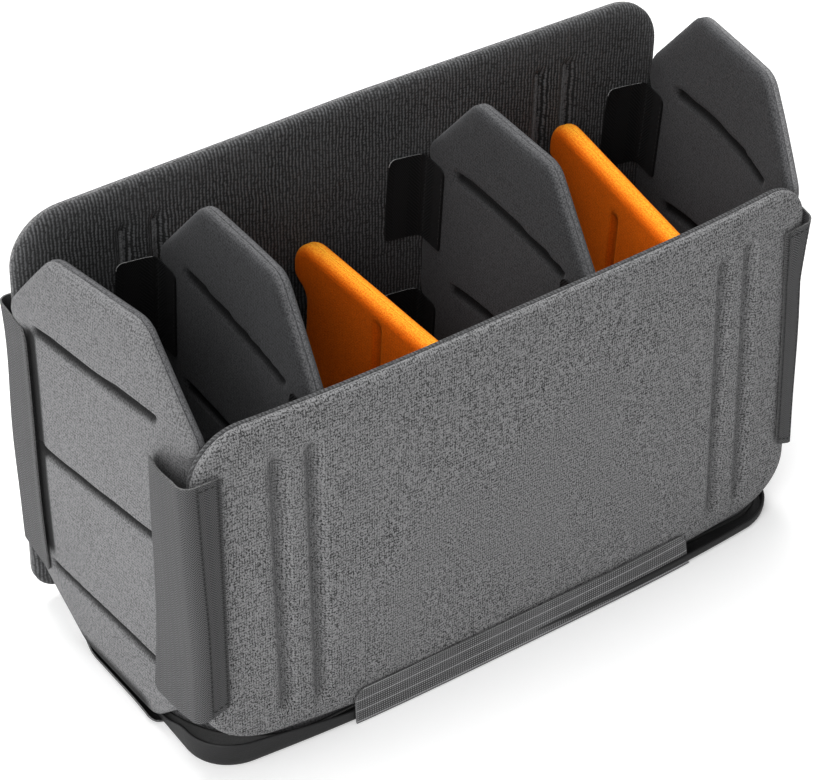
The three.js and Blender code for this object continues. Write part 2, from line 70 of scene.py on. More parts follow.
class Wire:
    """A number in a shader, as a node's output that takes part in sums."""

    def __init__(self, graph: "Graph", socket: bpy.types.NodeSocket) -> None:
        """Keeps the socket.

        Args:
            graph: The material's nodes.
            socket: The output that carries the number.
        """
        self.graph = graph
        self.socket = socket

    def maths(self, operation: str, *others: "Wire | float") -> "Wire":
        """Adds a Math node.

        Args:
            operation: The Math node's operation.
            others: The further inputs, in order.

        Returns:
            The node's result.
        """
        values = dict(enumerate((self, *others)))
        node = self.graph.node("ShaderNodeMath", {"operation": operation}, values)
        return Wire(self.graph, node.outputs[0])

    def __add__(self, other: "Wire | float") -> "Wire":
        """Sum."""
        return self.maths("ADD", other)

    __radd__ = __add__

    def __mul__(self, other: "Wire | float") -> "Wire":
        """Product."""
        return self.maths("MULTIPLY", other)

    __rmul__ = __mul__

    def __sub__(self, other: "Wire | float") -> "Wire":
        """Difference."""
        return self.maths("SUBTRACT", other)

    def __rsub__(self, other: float) -> "Wire":
        """Difference from a plain number."""
        return self * -1 + other

    def __truediv__(self, other: float) -> "Wire":
        """Share of a plain number."""
        return self * (1 / other)

    def __abs__(self) -> "Wire":
        """Size without sign."""
        return self.maths("ABSOLUTE")

    def wave(self) -> "Wire":
        """Sine of this number of turns, from 0 to 1."""
        return (self * math.tau).maths("SINE") * 0.5 + 0.5

    def fraction(self) -> "Wire":
        """What is left past the whole number below."""
        return self.maths("FRACT")

    def whole(self) -> "Wire":
        """The whole number below."""
        return self.maths("FLOOR")

    def power(self, exponent: float) -> "Wire":
        """Raised to a plain number."""
        return self.maths("POWER", exponent)

    def clamped(self) -> "Wire":
        """Held between 0 and 1."""
        node = self.graph.node("ShaderNodeClamp", {}, {0: self})
        return Wire(self.graph, node.outputs[0])

    def eased(self, low: float, high: float) -> "Wire":
        """Smooth step from 0 at low to 1 at high."""
        inputs = {0: self, 1: low, 2: high, 3: 0.0, 4: 1.0}
        node = self.graph.node("ShaderNodeMapRange", {"interpolation_type": "SMOOTHSTEP"}, inputs)
        return Wire(self.graph, node.outputs[0])


class Nodes:
    """A node tree whose nodes all come from one method."""

    def __init__(self, owner: bpy.types.Material | bpy.types.World) -> None:
        """Empties the owner's tree.

        Args:
            owner: The material or the world.
        """
        owner.use_nodes = True
        self.tree = owner.node_tree
        self.tree.nodes.clear()

    def node(self, kind: str, settings: dict | None = None, inputs: dict | None = None) -> bpy.types.Node:
        """Adds a node, sets it, then fills its inputs.

        Args:
            kind: The node's type.
            settings: Its properties, set before its inputs.
            inputs: Values or links by the input's name or number.

        Returns:
            The node.
        """
        node = self.tree.nodes.new(kind)
        for key, value in (settings or {}).items():
            setattr(node, key, value)
        for key, value in (inputs or {}).items():
            self.feed(node.inputs[key], value)
        return node

    def feed(self, socket: bpy.types.NodeSocket, value: object) -> None:
        """Links or sets an input.

        Args:
            socket: The input.
            value: A Wire, an output socket or a plain value.
        """
        if isinstance(value, Wire):
            self.tree.links.new(value.socket, socket)
        elif isinstance(value, bpy.types.NodeSocket):
            self.tree.links.new(value, socket)
        else:
            socket.default_value = value

    def seen_as(self, lit: bpy.types.NodeSocket, seen: bpy.types.NodeSocket) -> bpy.types.NodeSocket:
        """A shader that the camera sees otherwise than the light does.

        Args:
            lit: The shader for the light.
            seen: The shader for the camera.

        Returns:
            The mixed shader.
        """
        camera = self.node("ShaderNodeLightPath").outputs["Is Camera Ray"]
        return self.node("ShaderNodeMixShader", {}, {0: camera, 1: lit, 2: seen}).outputs[0]


class Graph(Nodes):
    """The nodes of one material, with its main shader ready."""

    def __init__(self, name: str) -> None:
        """Makes the material.

        Args:
            name: The material's name.
        """
        self.material = bpy.data.materials.new(name)
        super().__init__(self.material)
        self.shader = self.node("ShaderNodeBsdfPrincipled")
        self.node("ShaderNodeOutputMaterial", {}, {"Surface": self.shader.outputs[0]})

    def place(self) -> bpy.types.NodeSocket:
        """The piece's own coordinates, in metres."""
        return self.node("ShaderNodeTexCoord").outputs["Object"]

    def cloth(self) -> tuple[Wire, Wire]:
        """Width and height along the cloth, in millimetres, from its own map."""
        flat = self.node("ShaderNodeUVMap", {"uv_map": "cloth"}).outputs[0]
        split = self.node("ShaderNodeSeparateXYZ", {}, {0: flat})
        return Wire(self, split.outputs[0]) / MM, Wire(self, split.outputs[1]) / MM

    def marked(self, name: str) -> Wire:
        """A number kept on the mesh.

        Args:
            name: The attribute's name.

        Returns:
            Its value.
        """
        return Wire(self, self.node("ShaderNodeAttribute", {"attribute_name": name}).outputs["Fac"])

    def seam(self) -> tuple[Wire, Wire]:
        """Distance from a panel's seam over its rim, in millimetres, and the fine ridges beside the seam."""
        roll = self.marked("roll")
        return roll, (roll / RIDGE_PITCH_MM + 0.2).wave() * (1 - roll.eased(*RIM_ROLL_MM))

    def noise(self, size_mm: float, detail: float = 2.0, rough: float = 0.5,
              stretch: Sequence[float] = (1, 1, 1)) -> Wire:
        """Cloudy noise.

        Args:
            size_mm: How large a cloud is.
            detail: How many finer layers it has.
            rough: How strong the finer layers are.
            stretch: How the coordinates are stretched first.

        Returns:
            The noise, from 0 to 1.
        """
        moved = self.node("ShaderNodeMapping", {}, {"Vector": self.place(), "Scale": tuple(stretch)})
        inputs = {"Vector": moved.outputs[0], "Scale": 1 / (size_mm * MM), "Detail": detail,
                  "Roughness": rough}
        return Wire(self, self.node("ShaderNodeTexNoise", {}, inputs).outputs["Fac"])

    def blend(self, factor: "Wire | float", first: object, second: object) -> bpy.types.NodeSocket:
        """Mixes two colours.

        Args:
            factor: 0 for the first, 1 for the second.
            first: A colour or a link.
            second: A colour or a link.

        Returns:
            The mixed colour.
        """
        mix = self.node("ShaderNodeMix", {"data_type": "RGBA"})
        for socket, value in zip((mix.inputs[0], mix.inputs[6], mix.inputs[7]), (factor, first, second)):
            self.feed(socket, value)
        return mix.outputs[2]

    def relief(self, height: Wire, depth_mm: float,
               under: bpy.types.NodeSocket | None = None) -> bpy.types.NodeSocket:
        """Fine relief of the surface.

        Args:
            height: The relief, from 0 to 1.
            depth_mm: How deep it is.
            under: A coarser relief that this one lies on.

        Returns:
            The normal.
        """
        inputs = {"Height": height, "Distance": depth_mm * MM, "Strength": 1.0}
        if under is not None:
            inputs["Normal"] = under
        return self.node("ShaderNodeBump", {}, inputs).outputs[0]

    def finish(self, colour: object, roughness: object, normal: object,
               **fixed: object) -> bpy.types.Material:
        """Wires the main shader.

        Args:
            colour: The base colour.
            roughness: The roughness.
            normal: The fine relief.
            fixed: Plain values of further inputs, by name with underscores.

        Returns:
            The finished material.
        """
        self.feed(self.shader.inputs["Base Color"], colour)
        self.feed(self.shader.inputs["Roughness"], roughness)
        self.feed(self.shader.inputs["Normal"], normal)
        for key, value in fixed.items():
            self.shader.inputs[key.replace("_", " ").title().replace("Ior", "IOR")].default_value = value
        return self.material


def shade(colour: Sequence[float], gain: float) -> tuple[float, float, float, float]:
    """A colour made lighter or darker.

    Args:
        colour: Red, green and blue.
        gain: The factor.

    Returns:
        The new colour, opaque.
    """
    red, green, blue = (min(1.0, part * gain) for part in colour)
    return red, green, blue, 1.0


@dataclass(frozen=True)
class BrushedPile:
    """Short brushed pile over foam: a heathered colour, clouded by the nap, paler on the rims, partly from
    their fuzz and partly as a painted highlight where light from above catches them.
    """

    name: str
    colour: tuple[float, float, float]
    rim_colour: tuple[float, float, float]
    fleck: float = 0.6
    nap: float = 0.12
    rim_fuzz_and_highlight: float = 0.5
    sheen: float = 0.12
    fade: tuple[float, float] = (6.0, 12.0)
    ridges: float = 0.4

    def make(self) -> bpy.types.Material:
        """The material."""
        graph = Graph(self.name)
        width, height = graph.cloth()
        grain = graph.noise(0.6, 2.0, 0.6)
        yarn = graph.noise(0.9, 2.0, 0.6, (1.0, 1.0, 0.7))
        drift = graph.noise(12.0, 2.0) * 1.2
        knit = (width / 1.3 + drift).wave() * (height / 1.7 + drift).wave()
        cloud = graph.noise(6.0, 3.0, 0.65)
        patch = graph.noise(45.0, 2.0, 0.5)
        mixed = grain * 0.5 + yarn * 0.4 + knit * 0.1
        dark, light = shade(self.colour, 1 - self.fleck), shade(self.colour, 1 + self.fleck * 1.1)
        flecked = graph.blend(mixed.eased(0.37, 0.55), dark, light)
        napped = graph.blend(cloud.eased(0.35, 0.7) * self.nap, flecked, shade(self.colour, 0.5))
        shade_and_marks = graph.blend(patch.eased(0.35, 0.7) * 0.1, napped, shade(self.colour, 1.5))
        roll, ridge = graph.seam()
        crest = 1 - roll.eased(self.fade[0], self.fade[1])
        # Paler rims: partly the pile's fuzz, partly a painted highlight where light from above falls on them.
        edge = (crest * (mixed.eased(0.38, 0.56) * 0.7 + 0.3)
                * (1 - ridge * self.ridges) * self.rim_fuzz_and_highlight).clamped()
        fuzzed_and_highlit = graph.blend(edge, shade_and_marks, shade(self.rim_colour, 1.1))
        # Painted shade in the channels, beside a sewn edge and on a foot, read from the points.
        colour = graph.blend(graph.marked("shade_and_marks").eased(0.05, 0.85) * 0.95, fuzzed_and_highlit, shade(self.colour, 0.06))
        coarse = graph.relief(cloud * 0.5 + (1 - ridge) * self.ridges, 0.4)
        fine = graph.relief(mixed, 0.55, coarse)
        return graph.finish(colour, grain * 0.08 + 0.9, fine, sheen_weight=self.sheen, sheen_roughness=0.6,
                            sheen_tint=shade(self.rim_colour, 1 / max(self.rim_colour)),
                            specular_ior_level=0.12)


@dataclass(frozen=True)
class RibKnit:
    """Loop lining knitted in fine uneven upright ribs, brushed smooth on the rims."""

    name: str
    colour: tuple[float, float, float]
    rim_colour: tuple[float, float, float]
    pitch_mm: float = 1.95
    loop_mm: float = 1.7

    def make(self) -> bpy.types.Material:
        """The material."""
        graph = Graph(self.name)
        width, height = graph.cloth()
        drift = (graph.noise(11.0, 3.0, 0.6) - 0.5) * 1.3
        turn = width / self.pitch_mm + drift
        rib = turn.wave()
        row = (turn + 0.25).whole() * 0.37
        loop = (height / self.loop_mm + row + drift * 1.6).wave()
        grain = graph.noise(0.9, 3.0, 0.7)
        broken = graph.noise(2.2, 2.0, 0.6).eased(0.34, 0.62)
        body = rib * (loop * 0.45 + 0.55) * (broken * 0.6 + 0.4)
        relief = body * 0.6 + grain * 0.4
        base = graph.blend(relief.eased(0.28, 0.56), shade(self.colour, 0.1), shade(self.colour, 2.3))
        patch = graph.noise(30.0, 3.0)
        clouded = graph.blend(patch.eased(0.35, 0.7) * 0.15, base, shade(self.colour, 1.5))
        roll, ridge = graph.seam()
        crest = (1 - roll.eased(*RIM_ROLL_MM)) * 0.75 + (1 - roll.eased(7.0, 30.0)) * 0.25
        smooth = crest * (grain.eased(0.38, 0.58) * 0.7 + 0.3) * (1 - ridge * 0.35)
        colour = graph.blend(smooth.clamped(), clouded, shade(self.rim_colour, 1.0))
        height_map = relief * roll.eased(*RIM_ROLL_MM) + grain * 0.4
        return graph.finish(colour, grain * 0.06 + 0.92, graph.relief(height_map, 0.7), sheen_weight=0.12,
                            sheen_roughness=0.6, specular_ior_level=0.1)


class Weave(Enum):
    """How a nylon is woven."""

    HERRINGBONE = "herringbone"
    PLAIN = "plain"


@dataclass(frozen=True)
class WovenNylon:
    """Dark woven nylon with a tight, slightly glossy weave."""

    name: str
    colour: tuple[float, float, float]
    weave: Weave
    pitch_mm: float = 0.95
    column_mm: float = 2.3
    gloss: float = 0.62
    contrast: float = 0.85
    shine: float = 0.3
    sheen: float = 0.06
    depth_mm: float = 0.28

    def make(self) -> bpy.types.Material:
        """The material."""
        graph = Graph(self.name)
        width, height = graph.cloth()
        drift = (graph.noise(9.0, 2.0) - 0.5) * 0.35
        if self.weave is Weave.HERRINGBONE:
            zigzag = abs((width / (2 * self.column_mm)).fraction() - 0.5) * (2 * self.column_mm)
            yarn = ((height + zigzag * 1.2) / self.pitch_mm + drift).wave()
            cross = (width / (self.pitch_mm * 0.5)).wave() * 0.3
        else:
            yarn = (width / self.pitch_mm + drift).wave() * (height / self.pitch_mm + drift).wave()
            cross = (height / (self.pitch_mm * 5)).wave().eased(0.9, 1.0) * 0.4
        grain = graph.noise(0.5, 2.0)
        relief = yarn * 0.7 + cross + grain * 0.15
        base = graph.blend(relief.eased(0.25, 0.75), shade(self.colour, 1 - self.contrast),
                           shade(self.colour, 1 + self.contrast * 1.6))
        patch = graph.noise(22.0, 3.0)
        rubbed = graph.blend(patch.eased(0.4, 0.75) * 0.15, base, shade(self.colour, 1.7))
        edged = graph.blend(graph.marked("rim").power(3.0) * 0.3, rubbed, shade(self.colour, 2.0))
        # Darker where the points say: painted shade in a tab's fold and along its band's edge beside the
        # stitching, and a flap's stitch lines and hook-strip band.
        colour = graph.blend(graph.marked("shade_and_marks") * 0.9, edged, shade(self.colour, 0.1))
        return graph.finish(colour, relief * 0.18 + self.gloss, graph.relief(relief, self.depth_mm),
                            sheen_weight=self.sheen, sheen_roughness=0.5, specular_ior_level=self.shine)


@dataclass(frozen=True)
class GrainedFinish:
    """A plain finish with a fine grain, as on a cut edge, a board or a thread."""

    name: str
    colour: tuple[float, float, float]
    grain_mm: float
    detail: float = 3.0
    ease: tuple[float, float] = (0.35, 0.65)
    shades: tuple[float, float] = (0.55, 1.6)
    roughness: tuple[float, float] = (0.5, 0.2)
    depth_mm: float = 0.2
    sheen: float = 0.0
    shine: float = 0.4

    def make(self) -> bpy.types.Material:
        """The material."""
        graph = Graph(self.name)
        grain = graph.noise(self.grain_mm, self.detail)
        colour = graph.blend(grain.eased(*self.ease), *(shade(self.colour, gain) for gain in self.shades))
        least, more = self.roughness
        return graph.finish(colour, grain * more + least, graph.relief(grain, self.depth_mm),
                            sheen_weight=self.sheen, specular_ior_level=self.shine)


@dataclass(frozen=True)
class HookTape:
    """Hook tape: rows of tiny hooks on a woven ground."""

    name: str = "hook_tape"
    colour: tuple[float, float, float] = (0.03, 0.03, 0.032)

    def make(self) -> bpy.types.Material:
        """The material."""
        graph = Graph(self.name)
        inputs = {"Vector": graph.place(), "Scale": 1 / (1.1 * MM), "Randomness": 0.25}
        cells = Wire(graph, graph.node("ShaderNodeTexVoronoi", {}, inputs).outputs["Distance"])
        hooks = 1 - cells.eased(0.1, 0.55)
        colour = graph.blend(hooks, shade(self.colour, 0.6), shade(self.colour, 2.2))
        return graph.finish(colour, hooks * -0.25 + 0.75, graph.relief(hooks, 0.6), specular_ior_level=0.4)


@dataclass(frozen=True)
class CoatedSheet:
    """Smooth coated sheet of the base: faint pebble grain, with paler rubbed streaks here and there."""

    name: str = "coated_sheet"
    colour: tuple[float, float, float] = (0.0085, 0.0085, 0.009)

    def make(self) -> bpy.types.Material:
        """The material."""
        graph = Graph(self.name)
        inputs = {"Vector": graph.place(), "Scale": 1 / (0.9 * MM)}
        pebble = Wire(graph, graph.node("ShaderNodeTexVoronoi", {"feature": "SMOOTH_F1"},
                                        inputs).outputs["Distance"])
        scuff = graph.noise(14.0, 5.0, 0.65, (1, 1, 3))
        base = graph.blend(pebble.eased(0.1, 0.6) * 0.5, shade(self.colour, 1.2), shade(self.colour, 0.75))
        colour = graph.blend(scuff.eased(0.5, 0.75) * 0.25, base, shade(self.colour, 2.2))
        return graph.finish(colour, scuff * 0.2 + 0.48, graph.relief(pebble, 0.12), specular_ior_level=0.45)


def made(recipe: BrushedPile | RibKnit | WovenNylon | GrainedFinish | HookTape | CoatedSheet
         ) -> bpy.types.Material:
    """A field that holds a recipe's material.

    Args:
        recipe: The recipe.

    Returns:
        The field, which makes the material when its owner is made.
    """
    return field(default_factory=recipe.make)


@dataclass
class Finishes:
    """Every finish of the insert, made once."""

    # Each pile's rim colour is partly its paler fuzz and partly a painted highlight on the lit rims; the
    # orange's yellower rim colour stands in for the light on its tops.
    wall_pile: bpy.types.Material = made(
        BrushedPile("wall_pile", (0.136, 0.136, 0.138), (0.2, 0.2, 0.203), 0.9, sheen=0.06))
    end_pile: bpy.types.Material = made(
        BrushedPile("end_pile", (0.148, 0.148, 0.151), (0.215, 0.215, 0.219), 0.45, 0.06, sheen=0.03))
    divider_pile: bpy.types.Material = made(
        BrushedPile("divider_pile", (0.034, 0.0345, 0.036), (0.15, 0.15, 0.155), 0.45, 0.1, 0.95, 0.08))
    orange_pile: bpy.types.Material = made(
        BrushedPile("orange_pile", (1.0, 0.125, 0.001), (1.0, 0.5, 0.04), 0.2, 0.1, 1.0, 0.12, (3.5, 13.0),
                    0.1))
    lining: bpy.types.Material = made(RibKnit("rib_lining", (0.05, 0.051, 0.053), (0.13, 0.13, 0.133)))
    flap_nylon: bpy.types.Material = made(
        WovenNylon("flap_nylon", (0.044, 0.044, 0.0455), Weave.HERRINGBONE, 1.45, 2.4, contrast=1.0,
                   depth_mm=0.45))
    tab_nylon: bpy.types.Material = made(
        WovenNylon("tab_nylon", (0.0065, 0.0065, 0.0068), Weave.HERRINGBONE, 2.0, 9.0, 0.6, 1.0, 0.25, 0.0))
    base_nylon: bpy.types.Material = made(
        WovenNylon("base_nylon", (0.165, 0.165, 0.168), Weave.PLAIN, 1.3, contrast=0.7))
    cut_edge: bpy.types.Material = made(GrainedFinish("cut_edge", (0.09, 0.09, 0.09), 0.8))
    # A painted highlight for a tab's top edge, where light catches it.
    tab_edge_highlight: bpy.types.Material = made(GrainedFinish("tab_edge_highlight", (0.22, 0.22, 0.22), 0.8))
    hooks: bpy.types.Material = made(HookTape())
    coated: bpy.types.Material = made(CoatedSheet())
    board: bpy.types.Material = made(
        GrainedFinish("stiff_board", (0.03, 0.03, 0.03), 0.7, ease=(0.3, 0.7), shades=(0.8, 1.3),
                      roughness=(0.5, 0.15), depth_mm=0.08, shine=0.5))
    thread: bpy.types.Material = made(
        GrainedFinish("dark_thread", (0.004, 0.004, 0.0045), 0.35, 2.0, shades=(0.6, 1.6),
                      roughness=(0.6, 0.2), depth_mm=0.1, sheen=0.1, shine=0.5))


def clear_selection() -> None:
    """Leaves nothing selected and no active piece."""
    bpy.ops.object.select_all(action="DESELECT")
    bpy.context.view_layer.objects.active = None


def choose(piece: bpy.types.Object) -> None:
    """Selects one piece alone.

    Args:
        piece: The piece.
    """
    clear_selection()
    piece.select_set(True)
    bpy.context.view_layer.objects.active = piece


def node_points(name: str) -> np.ndarray:
    """Corners of a CAD node, each once, in metres.

    Args:
        name: The node.

    Returns:
        An array of points.
    """
    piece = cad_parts[name]
    points = np.array([piece.matrix_world @ vertex.co for vertex in piece.data.vertices])
    return np.unique(points.round(6), axis=0)


def smooth_step(value: np.ndarray, low: float, high: float) -> np.ndarray:
    """Smooth step from 0 at low to 1 at high.

    Args:
        value: Where it is taken.
        low: Where it starts.
        high: Where it ends.

    Returns:
        The step's height.
    """
    share = np.clip((value - low) / (high - low), 0, 1)
    return share * share * (3 - 2 * share)


def travelled(points: np.ndarray) -> np.ndarray:
    """Distances along a line of points.

    Args:
        points: The points, in order.

    Returns:
        How far each one is from the first.
    """
    return np.concatenate([[0], np.cumsum(np.linalg.norm(np.diff(points, axis=0), axis=1))])


def round_cut(radius: float, inside: np.ndarray) -> np.ndarray:
    """How much a round corner takes off an edge.

    Args:
        radius: The corner's radius.
        inside: Distances from the edge's end.

    Returns:
        The cut at each distance.
    """
    past = np.clip(radius - inside, 0, radius)
    return radius - np.sqrt(np.maximum(radius ** 2 - past ** 2, 0))


def both_cuts(radii: Sequence[float], travel: np.ndarray) -> np.ndarray:
    """How much the round corners at both ends take off an edge.

    Args:
        radii: The radii of the first and the last corner.
        travel: Distances along the edge from its first end to its last.

    Returns:
        The cut at each distance.
    """
    return round_cut(radii[0], travel - travel[0]) + round_cut(radii[1], travel[-1] - travel)


def quads(number: np.ndarray) -> list[tuple[int, ...]]:
    """Faces between neighbours in a grid of points.

    Args:
        number: The points' numbers, column by column.

    Returns:
        The faces.
    """
    corners = (number[:-1, :-1], number[1:, :-1], number[1:, 1:], number[:-1, 1:])
    return [tuple(face) for face in np.stack(corners, axis=2).reshape(-1, 4).tolist()]


def mark(piece: bpy.types.Object, name: str, values: np.ndarray) -> None:
    """Keeps a number on each of a piece's points.

    Args:
        piece: The piece.
        name: The attribute's name.
        values: The numbers.
    """
    layer = piece.data.attributes.new(name, "FLOAT", "POINT")
    layer.data.foreach_set("value", values.astype(np.float32))


def mesh_piece(name: str, points: np.ndarray, faces: list, cloth: np.ndarray, rim: np.ndarray,
               materials: Sequence[bpy.types.Material]) -> bpy.types.Object:
    """Makes a piece from points and faces.

    Args:
        name: The piece's name.
        points: Its points, in metres.
        faces: Its faces, as point numbers.
        cloth: Each point's place along the cloth, in metres.
        rim: How near each point is to an edge, from 0 to 1.
        materials: Its materials, the first for every face.

    Returns:
        The piece.
    """
    mesh = bpy.data.meshes.new(name)
    mesh.from_pydata([tuple(point) for point in points], [], faces)
    corner = np.empty(len(mesh.loops), dtype=np.int32)
    mesh.loops.foreach_get("vertex_index", corner)
    layer = mesh.uv_layers.new(name="cloth")
    layer.data.foreach_set("uv", cloth[corner].astype(np.float32).ravel())
    for material in materials:
        mesh.materials.append(material)
    mesh.shade_smooth()
    piece = bpy.data.objects.new(name, mesh)
    mark(piece, "rim", rim)
    bpy.context.collection.objects.link(piece)
    return piece


@dataclass(frozen=True)
class Corner:
    """A corner of a panel's outline, in millimetres."""

    x: float
    y: float
    radius: float
    split: bool = False


class Outline:
    """A panel's outline as four sides that meet in its split corners."""

    def __init__(self, corners: Sequence[Corner], by_height: bool = True) -> None:
        """Rounds the corners.

        Args:
            corners: Anticlockwise, the first one split and at the lower left.
            by_height: Whether points on the left and right are spread by height.
        """
        self.by_height = by_height
        points: list[np.ndarray] = []
        marks: list[int] = []
        for index, corner in enumerate(corners):
            before, after = corners[index - 1], corners[(index + 1) % len(corners)]
            here = np.array([corner.x, corner.y])
            into = here - (before.x, before.y)
            into = into / np.linalg.norm(into)
            away = np.array([after.x, after.y]) - here
            away = away / np.linalg.norm(away)
            bend = math.atan2(into[0] * away[1] - into[1] * away[0], float(into @ away))
            start = here - into * corner.radius * math.tan(abs(bend) / 2)
            inward = np.array([-into[1], into[0]])
            radius = math.copysign(corner.radius, bend)
            centre = start + inward * radius
            for step in range(ARC_STEPS + 1):
                turn = bend * step / ARC_STEPS
                spin = np.array([[math.cos(turn), -math.sin(turn)], [math.sin(turn), math.cos(turn)]])
                if corner.split and step == ARC_STEPS // 2:
                    marks.append(len(points))
                points.append(np.concatenate([centre - spin @ inward * radius, spin @ inward]))
        loop = points[marks[0]:] + points[:marks[0] + 1]
        cuts = [mark - marks[0] for mark in marks] + [len(points)]
        self.sides = [np.array(loop[low:high + 1]) for low, high in zip(cuts, cuts[1:])]

    def side(self, index: int, places: np.ndarray) -> np.ndarray:
        """Points on one side.

        Args:
            index: 0 bottom, 1 right, 2 top, 3 left, each anticlockwise.
            places: Shares from 0 to 1, from left to right or from bottom to top.

        Returns:
            The points and their inward directions, from left to right or from bottom to top.
        """
        line = self.sides[index] if index < 2 else self.sides[index][::-1]
        upright = index % 2 == 1
        if upright and not self.by_height:
            measure = travelled(line[:, :2])
        else:
            measure = line[:, 1 if upright else 0]
        at = measure[0] + places * (measure[-1] - measure[0])
        return np.column_stack([np.interp(at, measure, part) for part in line.T])


def mirrored(corners: Sequence[Corner]) -> list[Corner]:
    """The same outline seen from the other side.

    Args:
        corners: Anticlockwise, the first one split and at the lower left.

    Returns:
        The mirrored corners in the same order.
    """
    second = next(index for index, corner in enumerate(corners) if index and corner.split)
    order = [*corners[second::-1], *corners[:second:-1]]
    return [Corner(-corner.x, corner.y, corner.radius, corner.split) for corner in order]


def spread(low: float, high: float, spacing: float, focus: Sequence[tuple[float, float]],
           fine: float) -> np.ndarray:
    """Shares from 0 to 1 that lie closer together near some places.

    Args:
        low: Where the stretch starts, in millimetres.
        high: Where it ends.
        spacing: The usual step.
        focus: Middle and half width of each closer stretch.
        fine: The step there.

    Returns:
        The shares.
    """
    along = np.linspace(low, high, 2000)
    need = np.full_like(along, 1 / spacing)
    for middle, reach in focus:
        need = np.maximum(need, (1 / fine) * np.exp(-((along - middle) / reach) ** 4))
    total = np.concatenate([[0], np.cumsum((need[1:] + need[:-1]) / 2 * np.diff(along))])
    count = int(math.ceil(total[-1]))
    return (np.interp(np.linspace(0, total[-1], count + 1), total, along) - low) / (high - low)


class ChannelForm(Enum):
    """Cross-section of a pressed channel."""

    ROUND = "round"
    STEPPED = "stepped"


@dataclass(frozen=True)
class Channel:
    """A channel pressed into a face, in millimetres of the panel's own plane."""

    start: tuple[float, float]
    end: tuple[float, float]
    width: float
    depth: float
    form: ChannelForm
    arch: float = 0.0
    # How strong the channel's painted shade is.
    shade_and_marks: float = 1.0

    def seen(self, hand: float) -> "Channel":
        """The channel with its ends on the right or the left.

        Args:
            hand: 1 as given, -1 mirrored.

        Returns:
            The channel, from left to right or from bottom to top.
        """
        ends = sorted([(self.start[0] * hand, self.start[1]), (self.end[0] * hand, self.end[1])],
                      key=lambda end: end[0] if self.form is ChannelForm.STEPPED else end[1])
        return replace(self, start=ends[0], end=ends[1])

    def pressed(self, x: np.ndarray, y: np.ndarray) -> tuple[np.ndarray, np.ndarray]:
        """How deep the face is pressed, and how much painted shade darkens the pile there.

        Args:
            x: Places across the panel.
            y: Places up the panel.

        Returns:
            The depth and the painted shade, from 0 to 1, at each place.
        """
        start, end = np.array(self.start), np.array(self.end)
        length = float(np.linalg.norm(end - start))
        along = (end - start) / length
        travel = (x - start[0]) * along[0] + (y - start[1]) * along[1]
        offset = (x - start[0]) * -along[1] + (y - start[1]) * along[0]
        share = np.clip(travel / length, 0, 1)
        offset = offset - self.arch * 4 * share * (1 - share)
        if self.form is ChannelForm.ROUND:
            section = 0.5 + 0.5 * np.cos(np.pi * np.clip(offset / (self.width * 0.6), -1, 1))
            # The round channel's painted shade follows its hollow.
            section = dark = section ** 0.75
        else:
            upper = smooth_step(offset, self.width * 0.22, -self.width * 0.1)
            section = upper * smooth_step(offset, -self.width * 1.6, -self.width * 0.15) ** 1.7
            # Painted shade under the stepped channel's overhanging upper edge, fading down its lower side.
            dark = upper * smooth_step(offset, -self.width * 1.65, -self.width * 0.2)
        fade = smooth_step(travel, -0.4 * self.width, 0.5 * self.width)
        fade = fade * smooth_step(length - travel, -0.4 * self.width, 0.5 * self.width)
        return self.depth * section * fade, self.shade_and_marks * dark * fade


@dataclass(frozen=True)
class Warp:
    """How far a soft panel stands off its flat shape, at some heights. Millimetres and degrees."""

    heights: tuple[float, ...] = (0.0, 236.0)
    shifts: tuple[float, ...] = (0.0, 0.0)
    turns: tuple[float, ...] = (0.0, 0.0)
    bends: tuple[float, ...] = (0.0, 0.0)
    back_bends: tuple[float, ...] = (0.0, 0.0)
    bellies: tuple[float, ...] = (0.0, 0.0)
    bend_reach: float = 70.0
    belly_reach: float = 165.0

    def off(self, forward: np.ndarray, height: np.ndarray) -> np.ndarray:
        """How far points move outwards.

        Args:
            forward: Their distances in front of the panel's middle.
            height: Their heights on the panel.

        Returns:
            The distances.
        """
        fitted = []
        for values in (self.shifts, self.turns, self.bends, self.back_bends, self.bellies):
            spots = np.linspace(self.heights[0], self.heights[-1], len(values))
            heights = self.heights if len(values) == len(self.heights) else spots
            fitted.append(np.polyval(np.polyfit(heights, values, min(3, len(values) - 1)), height))
        shift, turn, bend, back_bend, belly = fitted
        pulled = bend * np.clip(forward / self.bend_reach, 0, None) ** 2
        pulled = pulled + back_bend * np.clip(-forward / self.bend_reach, 0, None) ** 4
        pushed = belly * self.swell(forward)
        return shift - np.tan(np.radians(turn)) * forward - pulled + pushed

    def swell(self, forward: np.ndarray) -> np.ndarray:
        """Share of the belly at some places.

        Args:
            forward: Their distances from the middle.

        Returns:
            The shares, 1 in the middle and 0 from the belly's reach on.
        """
        return np.clip(1 - (np.abs(forward) / self.belly_reach) ** 4, 0, None) ** 1.5


